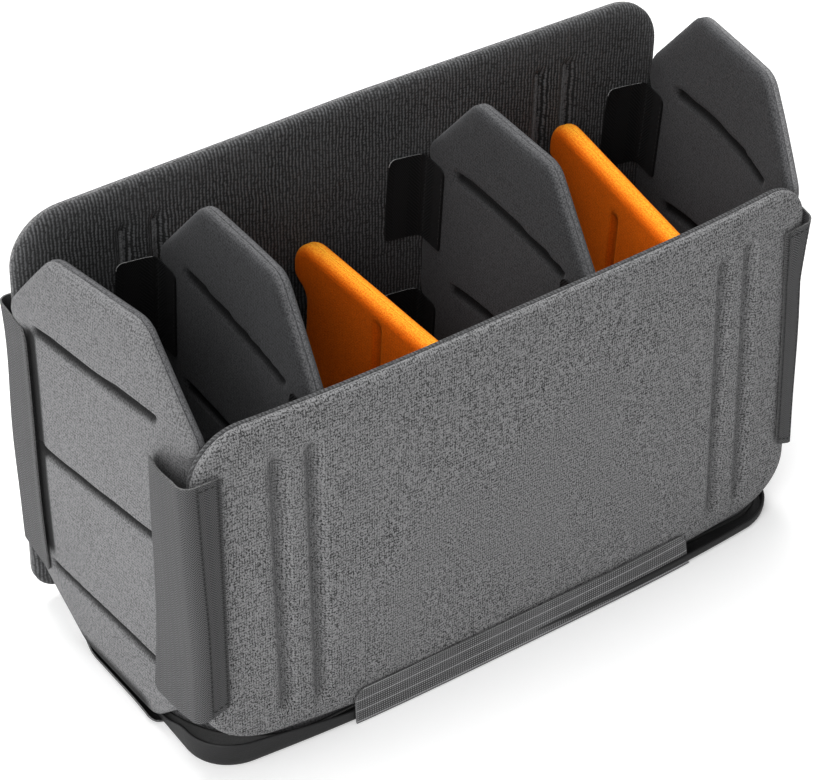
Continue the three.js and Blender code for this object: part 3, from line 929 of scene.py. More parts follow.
@dataclass(frozen=True)
class PanelFrame:
    """Where a padded panel stands, found from its CAD nodes. Lengths in millimetres."""

    foot: np.ndarray
    across: np.ndarray
    up: np.ndarray
    out: np.ndarray
    half_width: float
    height: float
    half_thickness: float
    warp: Warp = Warp()
    facing: int = 1

    @classmethod
    def found(cls, board: str, pads: Sequence[str], warp: Warp = Warp()) -> "PanelFrame":
        """Measures a panel.

        Args:
            board: The node of its board.
            pads: The nodes of its two foam halves, the first on the outer side.
            warp: How it stands off its flat shape.

        Returns:
            The panel's place.
        """
        points = node_points(board) / MM
        middle = points.mean(axis=0)
        _, _, axes = np.linalg.svd(points - middle, full_matrices=False)
        up = max(axes[:2], key=lambda axis: abs(axis[2]))
        up = up * math.copysign(1, up[2])
        halves = [node_points(pad) / MM for pad in pads]
        out = axes[2]
        out = out * math.copysign(1, float((halves[0].mean(axis=0) - middle) @ out))
        across = np.cross(up, out)
        both = np.concatenate(halves) - middle
        heights = both @ up
        return cls(middle + up * heights.min(), across, up, out, float(np.abs(both @ across).max()),
                   float(heights.max() - heights.min()), float(np.abs(both @ out).max()), warp)

    def turned(self) -> "PanelFrame":
        """The same panel seen from its other side."""
        return replace(self, across=-self.across, out=-self.out, facing=-self.facing)

    def hand(self) -> float:
        """1 where the panel's own across points to the front or the right, -1 elsewhere."""
        return (-math.copysign(1, self.across[1]) if abs(self.across[1]) > 0.5
                else math.copysign(1, self.across[0]))

    def world(self, local: np.ndarray) -> np.ndarray:
        """Points of the panel's own frame in the part's frame.

        Args:
            local: Places across, up and out, in millimetres.

        Returns:
            The points, in metres.
        """
        return self.moved(self.foot + local @ np.array([self.across, self.up, self.out])) * MM

    def moved(self, points: np.ndarray) -> np.ndarray:
        """Points that stand with the flat panel, moved to where the warped one is.

        Args:
            points: The points, in millimetres of the part's frame.

        Returns:
            The moved points.
        """
        local = points - self.foot
        forward = np.clip(local @ self.across, -self.half_width, self.half_width) * self.hand()
        off = self.warp.off(forward, local @ self.up) * self.facing
        return points + off[..., None] * self.out


@dataclass(frozen=True)
class Rim:
    """How a foam half rolls over from its seam to its face: inset and rise in millimetres."""

    rolls: tuple[tuple[float, float], ...]
    inner: tuple[tuple[float, float], ...]


SOFT_RIM = Rim(
    ((0.6, 0.12), (0.25, 0.3), (0.02, 0.75), (0.12, 1.1), (0.0, 1.45), (0.28, 2.3), (0.95, 3.2), (2.1, 4.0),
     (3.8, 4.55), (6.0, 4.83), (8.5, 4.95), (10.5, 5.0)),
    ((6.5, 0.12), (6.9, 0.7)),
)
FAT_RIM = Rim(
    ((0.16, 0.1), (0.06, 0.35), (0.02, 0.85), (0.04, 1.2), (0.0, 1.6), (0.3, 2.8), (0.95, 4.0), (1.9, 4.9),
     (3.1, 5.5), (4.4, 5.85), (5.6, 6.0)),
    ((4.4, 0.12), (4.7, 0.7)),
)


@dataclass
class FoamHalf:
    """One foam half of a panel under its cloth."""

    outline: Outline
    rim: Rim
    columns: np.ndarray
    rows: np.ndarray
    channels: Sequence[Channel] = ()
    pulls: Sequence[tuple[float, float]] = ()
    pull_mm: float = 0.0
    uneven_mm: float = 0.22

    def edge_points(self) -> np.ndarray:
        """The outline's points, anticlockwise from the lower left."""
        sides = [self.outline.side(0, self.columns), self.outline.side(1, self.rows),
                 self.outline.side(2, self.columns)[::-1], self.outline.side(3, self.rows)[::-1]]
        return np.concatenate([side[:-1] for side in sides])

    def drawn_in(self, points: np.ndarray, width: float) -> np.ndarray:
        """Draws the upright edges in where a tab holds them.

        Args:
            points: Points of the face.
            width: Half the panel's width.

        Returns:
            The moved points.
        """
        moved = points.copy()
        near = smooth_step(np.abs(points[:, 0]), width - 16, width - 3)
        for low, high in self.pulls:
            held = smooth_step(points[:, 1], low - 5, low + 4) * smooth_step(points[:, 1], high + 5, high - 4)
            loose = np.exp(-((points[:, 1] - low + 9) / 7) ** 2)
            moved[:, 0] -= np.sign(points[:, 0]) * near * (held * self.pull_mm - loose * 0.8)
        return moved

    def build(self, name: str, place: PanelFrame, cloth: bpy.types.Material) -> bpy.types.Object:
        """Makes the half.

        Args:
            name: The piece's name.
            place: Where the panel stands, seen from this half's face.
            cloth: The finish.

        Returns:
            The piece.
        """
        rounded = self.edge_points()
        edge, inward = rounded[:, :2], rounded[:, 2:]
        inward = inward / np.linalg.norm(inward, axis=1)[:, None]
        scale = place.half_thickness / self.rim.rolls[-1][1]
        rings = [(inset, rise) for inset, rise in reversed(self.rim.inner)]
        rings += [(inset, rise * scale) for inset, rise in self.rim.rolls]
        count = len(edge)
        flat = [edge + inward * inset for inset, _ in rings]
        heights = [np.full(count, rise) for _, rise in rings]
        front, curved = self.filled(flat[-1]), place.warp != Warp()
        flat.append(front)
        heights.append(np.full(len(front), place.half_thickness))
        if curved:
            flat.append(self.filled(flat[0]))
            heights.append(np.full(len(front), rings[0][1]))
        plan = np.concatenate(flat)
        rise = np.concatenate(heights)
        pressed = [channel.pressed(plan[:, 0], plan[:, 1]) for channel in self.channels]
        # Besides its depth, each channel gives painted shade, kept on the points for the cloth's colour.
        depth, shade_and_marks = (sum((pair[kind] for pair in pressed), np.zeros(len(plan))) for kind in (0, 1))
        rise = rise - depth * smooth_step(rise, place.half_thickness * 0.9, place.half_thickness * 0.99)
        rise = rise - self.waves(plan) * smooth_step(rise, 0.3 * place.half_thickness, place.half_thickness)
        distance = np.min(np.linalg.norm(front[:, None] - edge[None, ::3], axis=2), axis=1)
        rolled = [np.zeros(count)]
        for (inset, height), (inset_next, height_next) in zip(rings[::-1], rings[-2::-1]):
            rolled.append(rolled[-1] + math.hypot(inset - inset_next, height - height_next))
        spread_out = [flat[len(rings) - 1] - inward * length[:, None] for length in rolled[::-1]]
        cloth_map = np.concatenate([*spread_out, *flat[len(rings):]]) * MM
        face_rim = smooth_step(distance, 14.0, 6.0) * 0.4
        near = np.concatenate([np.ones(count * (len(rings) - 1)), np.full(count, 0.4), face_rim])
        near[:count * 2] = 0
        points = place.world(np.column_stack([self.drawn_in(plan, place.half_width), rise]))
        hidden = np.zeros(len(points) - len(near))
        piece = mesh_piece(name, points, self.faces(len(rings), count, curved), cloth_map,
                           np.concatenate([near, hidden]), [cloth])
        deep = rolled[-1].max() + np.maximum(distance - rings[-1][0], 0)
        from_seam = np.concatenate([*(rolled[-1] - length for length in rolled[::-1]), deep, hidden])
        shade_and_marks[:count * len(self.rim.inner)] = 0
        mark(piece, "roll", from_seam)
        mark(piece, "shade_and_marks", shade_and_marks)
        return piece

    def filled(self, ring: np.ndarray) -> np.ndarray:
        """Points inside a ring, spread like the ring's own.

        Args:
            ring: The ring's points, anticlockwise from the lower left.

        Returns:
            The points, column by column.
        """
        columns, rows = len(self.columns), len(self.rows)
        bottom, right = ring[:columns], ring[columns - 1:columns + rows - 1]
        top = ring[columns + rows - 2:2 * columns + rows - 2][::-1]
        left = np.concatenate([ring[2 * columns + rows - 3:], ring[:1]])[::-1]
        u, v = self.columns[:, None, None], self.rows[None, :, None]
        sheet = (1 - v) * bottom[:, None] + v * top[:, None] + (1 - u) * left[None] + u * right[None]
        sheet -= ((1 - u) * (1 - v) * bottom[0] + u * (1 - v) * bottom[-1]
                  + (1 - u) * v * top[0] + u * v * top[-1])
        return sheet[1:-1, 1:-1].reshape(-1, 2)

    def waves(self, plan: np.ndarray) -> np.ndarray:
        """Slow unevenness of the foam's face.

        Args:
            plan: Places on the face.

        Returns:
            How much lower the face lies.
        """
        x, y = plan[:, 0], plan[:, 1]
        slow = np.sin(x / 23.0 + 1.3 * np.sin(y / 41.0)) * np.sin(y / 29.0 + 0.7 * np.sin(x / 37.0))
        quick = np.sin(x / 9.0 + y / 15.0) * np.sin(y / 11.0 - x / 19.0)
        return self.uneven_mm * (0.7 * slow + 0.3 * quick)

    def faces(self, rings: int, count: int, curved: bool) -> list[tuple[int, ...]]:
        """Faces of the back, over the rings and over the grid inside the last one.

        Args:
            rings: How many rings there are.
            count: Points in each ring.
            curved: Whether the back is a grid of its own.

        Returns:
            The faces.
        """
        inside = (len(self.columns) - 2) * (len(self.rows) - 2)
        back = [tuple(range(count))[::-1]]
        if curved:
            back = [face[::-1] for face in self.grid_faces(0, rings * count + inside)]
        walls = [
            (low + p, low + (p + 1) % count, low + count + (p + 1) % count, low + count + p)
            for low in range(0, (rings - 1) * count, count) for p in range(count)
        ]
        return back + walls + self.grid_faces((rings - 1) * count, rings * count)

    def grid_faces(self, base: int, inner: int) -> list[tuple[int, ...]]:
        """Faces over the grid inside a ring.

        Args:
            base: The number of the ring's first point.
            inner: The number of the grid's first point.

        Returns:
            The faces.
        """
        columns, rows = len(self.columns), len(self.rows)
        loop = base + np.arange(2 * (columns + rows) - 4)
        number = np.empty((columns, rows), dtype=int)
        number[1:-1, 1:-1] = inner + np.arange((columns - 2) * (rows - 2)).reshape(columns - 2, rows - 2)
        number[:, 0] = loop[:columns]
        number[-1, :] = loop[columns - 1:columns + rows - 1]
        number[:, -1] = loop[columns + rows - 2:2 * columns + rows - 2][::-1]
        number[0, :] = np.concatenate([loop[2 * columns + rows - 3:], loop[:1]])[::-1]
        return quads(number)


def put(piece: bpy.types.Object, body: str, slot: str, *nodes: str,
        sewn_mm: tuple[Sequence[float], Sequence[float]] | None = None) -> bpy.types.Object:
    """Rides a piece on a body, or bakes its place into its points where it is sewn on, and hides the nodes
    that it stands for.

    Args:
        piece: The piece.
        body: The body that it moves with.
        slot: The record's material slot; not used.
        nodes: The CAD nodes that it replaces.
        sewn_mm: Where a cloth leaves the insert that it is sewn to, and where it follows its body wholly.
            Where it is given, the piece only has its place baked into its points; nothing bends it.

    Returns:
        The piece.
    """
    if sewn_mm is None:
        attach(piece, body)
    else:
        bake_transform(piece)
    if nodes:
        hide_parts(*nodes)
    log.info("%s on %s: %d faces", piece.name, body, len(piece.data.polygons))
    return piece


def bent_board(name: str, body: str, place: PanelFrame, outline: Outline, thick_mm: float,
               cloth: bpy.types.Material) -> None:
    """The board of a warped panel, in place of its flat one.

    Args:
        name: The panel's name.
        body: The body that it moves with.
        place: Where the panel stands.
        outline: The board's outline.
        thick_mm: Its thickness.
        cloth: Its finish.
    """
    thick = thick_mm / 2
    sheet = FoamHalf(outline, Rim(((0.0, thick),), ((0.0, -thick),)), np.linspace(0, 1, 24),
                     np.linspace(0, 1, 24), uneven_mm=0)
    board = sheet.build(f"{name}_bent_board", replace(place, half_thickness=thick), cloth)
    put(board, body, "stiff_board", f"{name}_board")


@dataclass
class LongWall:
    """A long padded wall with two pressed channels near each end, as seen from outside."""

    name: str
    corners: Sequence[Corner]
    channel_lines: Sequence[tuple[tuple[float, float], tuple[float, float]]]
    finishes: Finishes
    warp: Warp = Warp()
    board_inset: float = 9.0
    board_mm: float = 1.0
    channel_width: float = 9.5
    channel_depth: float = 4.2
    spacing: float = 2.3
    fine_spacing: float = 0.8

    def build(self) -> PanelFrame:
        """Makes both halves, and the board between them where it is bent.

        Returns:
            Where the wall stands, seen from outside.
        """
        pads = [f"{self.name}_outer_pad", f"{self.name}_inner_pad"]
        place = PanelFrame.found(f"{self.name}_board", pads, self.warp)
        sides = ((1, place, self.finishes.wall_pile, "brushed_fabric"),
                 (-1, place.turned(), self.finishes.lining, "ribbed_lining"))
        for pad, (hand, seen, cloth, slot) in zip(pads, sides):
            corners = list(self.corners) if hand > 0 else mirrored(self.corners)
            # The channels carry painted shade as well as their depth.
            channels = [
                Channel(start, end, self.channel_width, self.channel_depth, ChannelForm.ROUND,
                        shade_and_marks=0.36).seen(hand)
                for start, end in self.channel_lines
            ]
            outline = Outline(corners)
            low, high = corners[0].x, max(corner.x for corner in corners)
            focus = [((c.start[0] + c.end[0]) / 2, 6.5 + abs(c.end[0] - c.start[0]) / 2) for c in channels]
            half = FoamHalf(outline, SOFT_RIM, spread(low, high, self.spacing, focus, self.fine_spacing),
                            spread(0, place.height, self.spacing, [], self.spacing), channels)
            piece = put(half.build(pad.replace("_pad", ""), seen, cloth), "insert", slot, pad)
        if self.warp != Warp():
            inset, x = self.board_inset, place.half_width - self.board_inset
            plate = [Corner(-x, inset, 20, True), Corner(x, inset, 20, True),
                     Corner(x - 12, place.height - inset, 20, True),
                     Corner(-x, place.height - inset - 5, 20, True)]
            bent_board(self.name, "insert", place, Outline(plate), self.board_mm, self.finishes.board)
        return place


@dataclass(frozen=True)
class Level:
    """A level channel of a panel: its back and front ends, and how far its middle is arched up."""

    back: tuple[float, float]
    front: tuple[float, float]
    arch: float = 0.0


@dataclass
class EightSidedPanel:
    """A tall padded panel with three pressed level channels on each face."""

    name: str
    body: str
    pad_names: tuple[str, str]
    cloths: tuple[bpy.types.Material, bpy.types.Material]
    slots: tuple[str, str]
    tab_spans: Sequence[tuple[float, float]]
    levels: Sequence[Level]
    board_cloth: bpy.types.Material
    warp: Warp = Warp()
    # Dents and bands of painted shade on the first face only.
    dents_and_shade_bands: Sequence[Channel] = ()
    top_flat: float = 63.5
    chamfer_height: float = 45.0
    corner_radius: float = 14.0
    low_chamfer: float = 45.0
    channel_width: float = 5.0
    channel_depth: float = 3.4
    board_inset: float = 8.0
    board_mm: float = 1.0
    pull_mm: float = 3.0
    spacing: float = 1.9
    fine_spacing: float = 0.55

    def outline(self, place: PanelFrame, inset: float) -> Outline:
        """The panel's outline.

        Args:
            place: Where the panel stands.
            inset: How much smaller it is on every side.

        Returns:
            The outline.
        """
        x, top, radius = place.half_width - inset, place.height - inset, self.corner_radius
        flat = self.top_flat / 2 - inset * 0.36
        low, shoulder = self.low_chamfer + inset * 0.36, place.height - self.chamfer_height - inset * 0.36
        return Outline([
            Corner(-flat, inset, radius, True), Corner(flat, inset, radius, True), Corner(x, low, radius),
            Corner(x, shoulder, radius), Corner(flat, top, radius, True), Corner(-flat, top, radius, True),
            Corner(-x, shoulder, radius), Corner(-x, low, radius),
        ])

    def build(self) -> PanelFrame:
        """Makes both halves, and the board between them where it is bent.

        Returns:
            Where the panel stands, seen from its first half.
        """
        pads = [f"{self.name}_{pad}_pad" for pad in self.pad_names]
        place = PanelFrame.found(f"{self.name}_board", pads, self.warp)
        flat, top = self.top_flat / 2, place.height
        focus = []
        for level in self.levels:
            low, high = min(level.back[1], level.front[1]), max(level.back[1], level.front[1]) + level.arch
            focus.append(((low + high) / 2 - 1.5, (high - low) / 2 + 5.5))
        columns = spread(-flat, flat, self.spacing * 0.5, [], self.spacing)
        rows = spread(0, top, self.spacing, focus, self.fine_spacing)
        for side, pad in enumerate(pads):
            seen = place if side == 0 else place.turned()
            # The stepped channels carry their full painted shade.
            channels = [Channel(level.back, level.front, self.channel_width, self.channel_depth,
                                ChannelForm.STEPPED, level.arch).seen(seen.hand()) for level in self.levels]
            channels += [shade_band.seen(seen.hand()) for shade_band in self.dents_and_shade_bands if side == 0]
            half = FoamHalf(self.outline(place, 0), SOFT_RIM, columns, rows, channels, self.tab_spans,
                            self.pull_mm)
            piece = half.build(pad.replace("_pad", "_half"), seen, self.cloths[side])
            put(piece, self.body, self.slots[side], pad)
        if self.warp != Warp():
            bent_board(self.name, self.body, place, self.outline(place, self.board_inset), self.board_mm,
                       self.board_cloth)
        return place


@dataclass
class LowDivider:
    """A low orange divider with an ear at each upper corner over a recess."""

    name: str
    finishes: Finishes
    corner_radius: float = 7.0
    top_radius: float = 15.0
    ear_height: float = 23.0
    recess_depth: float = 11.0
    recess_bottom: float = 22.0
    fillet: float = 7.0
    channel_bottom: float = 30.0
    channel_top: float = 157.0
    channel_forward: float = 3.0
    top_drop: float = 0.0
    warp: Warp = Warp()
    channel_width: float = 7.0
    channel_depth: float = 2.6
    board_inset: float = 6.0
    board_mm: float = 1.0
    spacing: float = 1.8

    def build(self) -> PanelFrame:
        """Makes both halves and the bent board between them.

        Returns:
            Where the divider stands, seen from its left half.
        """
        pads = [f"{self.name}_left_pad", f"{self.name}_right_pad"]
        place = PanelFrame.found(f"{self.name}_board", pads, self.warp)
        x, top = place.half_width, place.height - self.top_drop
        waist, slope, ear = x - self.recess_depth, self.recess_depth / 2, top - self.ear_height
        right = [Corner(x, 0, self.corner_radius, True), Corner(x, self.recess_bottom, self.fillet),
                 Corner(waist, self.recess_bottom + slope, self.fillet),
                 Corner(waist, ear - slope, self.fillet),
                 Corner(x, ear, self.fillet), Corner(x, top, self.top_radius, True)]
        left = [Corner(-c.x, c.y, c.radius, c.split) for c in reversed(right)]
        corners = [left[-1], *right, *left[:-1]]
        for side, pad in enumerate(pads):
            seen = place if side == 0 else place.turned()
            across = self.channel_forward * seen.hand()
            # The channel carries painted shade as well as its depth.
            channel = Channel((across, self.channel_bottom), (across, self.channel_top), self.channel_width,
                              self.channel_depth, ChannelForm.ROUND, shade_and_marks=0.4)
            half = FoamHalf(Outline(corners, by_height=False), FAT_RIM,
                            spread(-x, x, self.spacing, [(across, 5)], 0.5),
                            spread(0, top, self.spacing, [], self.spacing), [channel])
            piece = half.build(pad.replace("_pad", "_half"), seen, self.finishes.orange_pile)
            put(piece, self.name, "orange_fabric", pad)
        inner, low = waist - self.board_inset, self.board_inset
        plate = [Corner(-inner, low, 4, True), Corner(inner, low, 4, True), Corner(inner, top - low, 8, True),
                 Corner(-inner, top - low, 8, True)]
        bent_board(self.name, self.name, place, Outline(plate), self.board_mm, self.finishes.board)
        return place


@dataclass
class ClothSheet:
    """A sheet of nylon over a grid of points, with its own thickness and stitches."""

    name: str
    grid: np.ndarray
    material: bpy.types.Material
    edge: bpy.types.Material
    thickness_mm: float = 0.8
    shade_and_marks: np.ndarray | None = None
    # Columns whose top edge alone gets the edge finish: a painted highlight on a tab's top edge.
    pale: tuple[int, int] | None = None

    def build(self) -> bpy.types.Object:
        """Makes the sheet, with its edge finish on its cut edges, or only on the top between two columns, as
        a painted highlight on a tab's top edge.

        Returns:
            The piece.
        """
        columns, rows = self.grid.shape[:2]
        faces = quads(np.arange(columns * rows).reshape(columns, rows))
        across = travelled(self.grid[:, rows // 2])
        upward = np.linalg.norm(self.grid - self.grid[:, :1], axis=2)
        cloth = np.dstack([np.repeat(across[:, None], rows, axis=1), upward + self.grid[:, :1, 2]])
        rim = np.zeros((columns, rows))
        rim[0], rim[-1], rim[:, 0], rim[:, -1] = 1, 1, 1, 1
        piece = mesh_piece(self.name, self.grid.reshape(-1, 3), faces, cloth.reshape(-1, 2), rim.ravel(),
                           [self.material, self.edge])
        if self.shade_and_marks is not None:
            mark(piece, "shade_and_marks", np.repeat(self.shade_and_marks, rows))
        choose(piece)
        wall = piece.modifiers.new("thickness", "SOLIDIFY")
        wall.thickness = self.thickness_mm * MM
        wall.offset = 0
        wall.material_offset_rim = 1
        bpy.ops.object.modifier_apply(modifier=wall.name)
        bpy.ops.object.mode_set(mode="EDIT")
        bpy.ops.mesh.select_all(action="SELECT")
        bpy.ops.mesh.normals_make_consistent(inside=False)
        bpy.ops.object.mode_set(mode="OBJECT")
        bpy.ops.object.shade_smooth_by_angle(angle=math.radians(40))
        if self.pale is not None:
            places = self.grid.reshape(-1, 3)
            for face in piece.data.polygons:
                nearest = int(np.argmin(np.linalg.norm(places - np.array(face.center), axis=1)))
                column, row = divmod(nearest, rows)
                if row < rows - 1 or not self.pale[0] <= column <= self.pale[1]:
                    face.material_index = 0
        return piece


@dataclass
class Stitches:
    """A row of sewn stitches, each a short thread that dips in at both ends."""

    material: bpy.types.Material
    length_mm: float = 2.2
    pitch_mm: float = 3.1
    radius_mm: float = 0.5
    sides: int = 6

    def one(self) -> tuple[np.ndarray, list]:
        """A single stitch along +X.

        Returns:
            Its points and faces.
        """
        clear_selection()
        bpy.ops.mesh.primitive_uv_sphere_add(segments=self.sides, ring_count=4, radius=1)
        model = bpy.context.active_object
        points = np.array([vertex.co for vertex in model.data.vertices])[:, [2, 0, 1]]
        faces = [tuple(face.vertices) for face in model.data.polygons]
        bpy.data.objects.remove(model)
        size = np.array([self.length_mm / 2, self.radius_mm, self.radius_mm * 0.8]) * MM
        return points * size, faces

    def sew(self, name: str, lines: Sequence[tuple[np.ndarray, np.ndarray]]) -> bpy.types.Object:
        """Sews along lines.

        Args:
            name: The piece's name.
            lines: For each line its points and the cloth's outward direction there.

        Returns:
            The piece.
        """
        shape, shape_faces = self.one()
        points, faces = [], []
        for line, outward in lines:
            travel = travelled(line)
            stations = np.arange(self.pitch_mm / 2, travel[-1] / MM, self.pitch_mm) * MM
            for station in stations:
                spots = ((station, line), (station + 0.5 * MM, line), (station - 0.5 * MM, line),
                         (station, outward))
                here, ahead, behind, normal = (np.array([np.interp(spot, travel, part) for part in values.T])
                                               for spot, values in spots)
                along = (ahead - behind) / np.linalg.norm(ahead - behind)
                side = np.cross(normal, along)
                side /= np.linalg.norm(side)
                basis = np.array([along, side, np.cross(along, side)])
                faces += [tuple(index + len(points) * len(shape) for index in face) for face in shape_faces]
                points.append(here + shape @ basis)
        stacked = np.concatenate(points)
        return mesh_piece(name, stacked, faces, stacked[:, :2], np.zeros(len(stacked)), [self.material])


def cloth_line(grid: np.ndarray, places: np.ndarray, lift_mm: float) -> tuple[np.ndarray, np.ndarray]:
    """A line on a cloth grid.

    Args:
        grid: The cloth's points.
        places: Column and row of each of the line's points, as numbers between whole ones.
        lift_mm: How far it lies off the cloth's middle, negative on the grid's other side.

    Returns:
        The line's points and the direction off the cloth there.
    """
    low = np.minimum(places.astype(int), np.array(grid.shape[:2]) - 2)
    share = (places - low)[:, :, None]
    here, right = grid[low[:, 0], low[:, 1]], grid[low[:, 0] + 1, low[:, 1]]
    above, corner = grid[low[:, 0], low[:, 1] + 1], grid[low[:, 0] + 1, low[:, 1] + 1]
    line = (here * (1 - share[:, 0]) + right * share[:, 0]) * (1 - share[:, 1]) + (
        above * (1 - share[:, 0]) + corner * share[:, 0]) * share[:, 1]
    normal = np.cross(right - here, above - here)
    normal *= math.copysign(1, lift_mm) / np.linalg.norm(normal, axis=1)[:, None]
    return line + normal * abs(lift_mm) * MM, normal


def upright(grid: np.ndarray, column: float, margin: float) -> np.ndarray:
    """Places of an upright line on a cloth grid.

    Args:
        grid: The cloth's points.
        column: Where the line runs.
        margin: Rows left out at each end.

    Returns:
        Column and row of each of its points.
    """
    rows = np.linspace(margin, grid.shape[1] - 1 - margin, grid.shape[1])
    return np.column_stack([np.full(len(rows), column), rows])


def column_at(grid: np.ndarray, distance_mm: float) -> float:
    """The column at a distance along a cloth grid's middle row.

    Args:
        grid: The cloth's points.
        distance_mm: The distance from its first column, or from its last one where it is negative.

    Returns:
        The column, as a number between two whole ones.
    """
    travel = travelled(grid[:, grid.shape[1] // 2]) / MM
    wanted = distance_mm if distance_mm >= 0 else travel[-1] + distance_mm
    return float(np.clip(np.interp(wanted, travel, np.arange(len(travel))), 0, len(travel) - 1.001))


@dataclass
class HookTab:
    """A nylon tab: a band sewn on a panel's face and a leaf that holds to a long wall."""

    name: str
    body: str
    panel: PanelFrame
    face_out: int
    wall_side: int
    wall_y_mm: float
    span: tuple[float, float]
    reach_mm: float
    band_mm: float
    finishes: Finishes
    gap_mm: float = 0.3
    thickness_mm: float = 0.5
    bend_mm: float = 3.2
    top_corner_mm: float = 4.0
    low_corner_mm: float = 1.5
    rise_mm: float = 3.5
    curl_mm: float = 1.1
    stitch_lift_mm: float = 0.32

    def path(self) -> tuple[np.ndarray, np.ndarray]:
        """Plan path of the tab at the panel's foot, with each point's distance.

        Returns:
            The points, in millimetres, and the distances.
        """
        out = self.panel.out * self.face_out
        toward = self.panel.across * math.copysign(1, self.panel.across[1] * self.wall_side)
        level = np.cross(np.array([0.0, 1.0, 0.0]), self.panel.up)
        level = level / np.linalg.norm(level) * math.copysign(1, level @ out)
        start = self.panel.foot + out * (self.panel.half_thickness + self.gap_mm + self.thickness_mm / 2)
        wall = self.wall_side * (self.wall_y_mm - self.gap_mm - self.thickness_mm / 2)
        corner = start + toward * ((wall - start[1]) / toward[1])
        ease = np.linspace(0, 1, 7)[:, None]
        first, last = corner - toward * self.bend_mm, corner + level * self.bend_mm
        bend = first * (1 - ease) ** 2 + corner * 2 * ease * (1 - ease) + last * ease ** 2
        ends = (np.linspace(0, 1, 17) ** 1.4)[:, None]
        band = corner - toward * (self.band_mm + (self.bend_mm - self.band_mm) * ends[:-1])
        leaf = corner + level * (self.reach_mm + (self.bend_mm - self.reach_mm) * ends[::-1][1:])
        points = np.concatenate([band, bend, leaf])
        return points, travelled(points)

    def build(self) -> bpy.types.Object:
        """Makes the tab and its stitches.

        Returns:
            The tab.
        """
        points, travel = self.path()
        low, high = self.span
        fold = self.band_mm
        lifted = self.rise_mm * np.clip((travel - fold) / self.reach_mm, 0, 1)
        bottom, top = (both_cuts((radius, radius), travel)
                       for radius in (self.low_corner_mm, self.top_corner_mm))
        share = np.linspace(0, 1, 15)
        heights = (low + bottom + lifted)[:, None] * (1 - share) + (high - top + lifted)[:, None] * share
        flat = points[:, None] + heights[:, :, None] * self.panel.up
        grid = self.panel.moved(flat)
        near_wall = smooth_step(np.abs(flat[:, :, 1]), self.wall_y_mm - 9, self.wall_y_mm - 1)
        grid[:, :, 1] += (flat[:, :, 1] - grid[:, :, 1]) * near_wall
        off_wall = np.array([0.0, -self.wall_side, 0.0])
        loose = smooth_step(travel, travel[-1] * 0.55, travel[-1])[:, None] * np.abs(share * 2 - 1.0) ** 3
        grid = (grid + (loose * self.curl_mm)[:, :, None] * off_wall) * MM
        # Dark lines at the fold and at the band's far edge: partly painted shade in the fold and along the
        # edge, partly the stitching beside them; the leaf a little darker.
        lines = np.exp(-((travel - fold + 0.8) / 0.9) ** 2) + np.exp(-((travel - 0.4) / 0.9) ** 2)
        shade_and_marks = np.clip(lines + 0.15 * (travel > fold), 0, 1)
        # The leaf's top edge gets a painted highlight where light catches it.
        sheet = ClothSheet(f"{self.name}_cloth", grid, self.finishes.tab_nylon, self.finishes.tab_edge_highlight,
                           self.thickness_mm, shade_and_marks, (int(np.argmax(travel > fold)), len(travel)))
        piece = put(sheet.build(), self.body, "nylon", self.name)
        self.name.split("_tab_")[0] + "_board"
        lift = self.stitch_lift_mm * (1 if self.faces_out(grid) else -1)
        lines = [cloth_line(grid, upright(grid, column_at(grid, distance), 1), lift)
                 for distance in (1.6, self.band_mm - self.bend_mm)]
        thread = Stitches(self.finishes.thread, 1.9, 2.7, 0.28).sew(f"{self.name}_stitches", lines)
        put(thread, self.body, "nylon")
        return piece

    def faces_out(self, grid: np.ndarray) -> bool:
        """Whether the grid's own direction points away from the panel.

        Args:
            grid: The tab's points.

        Returns:
            True where it does.
        """
        normal = np.cross(grid[1, 7] - grid[0, 7], grid[0, 8] - grid[0, 7])
        return float(normal @ (self.panel.out * self.face_out)) > 0


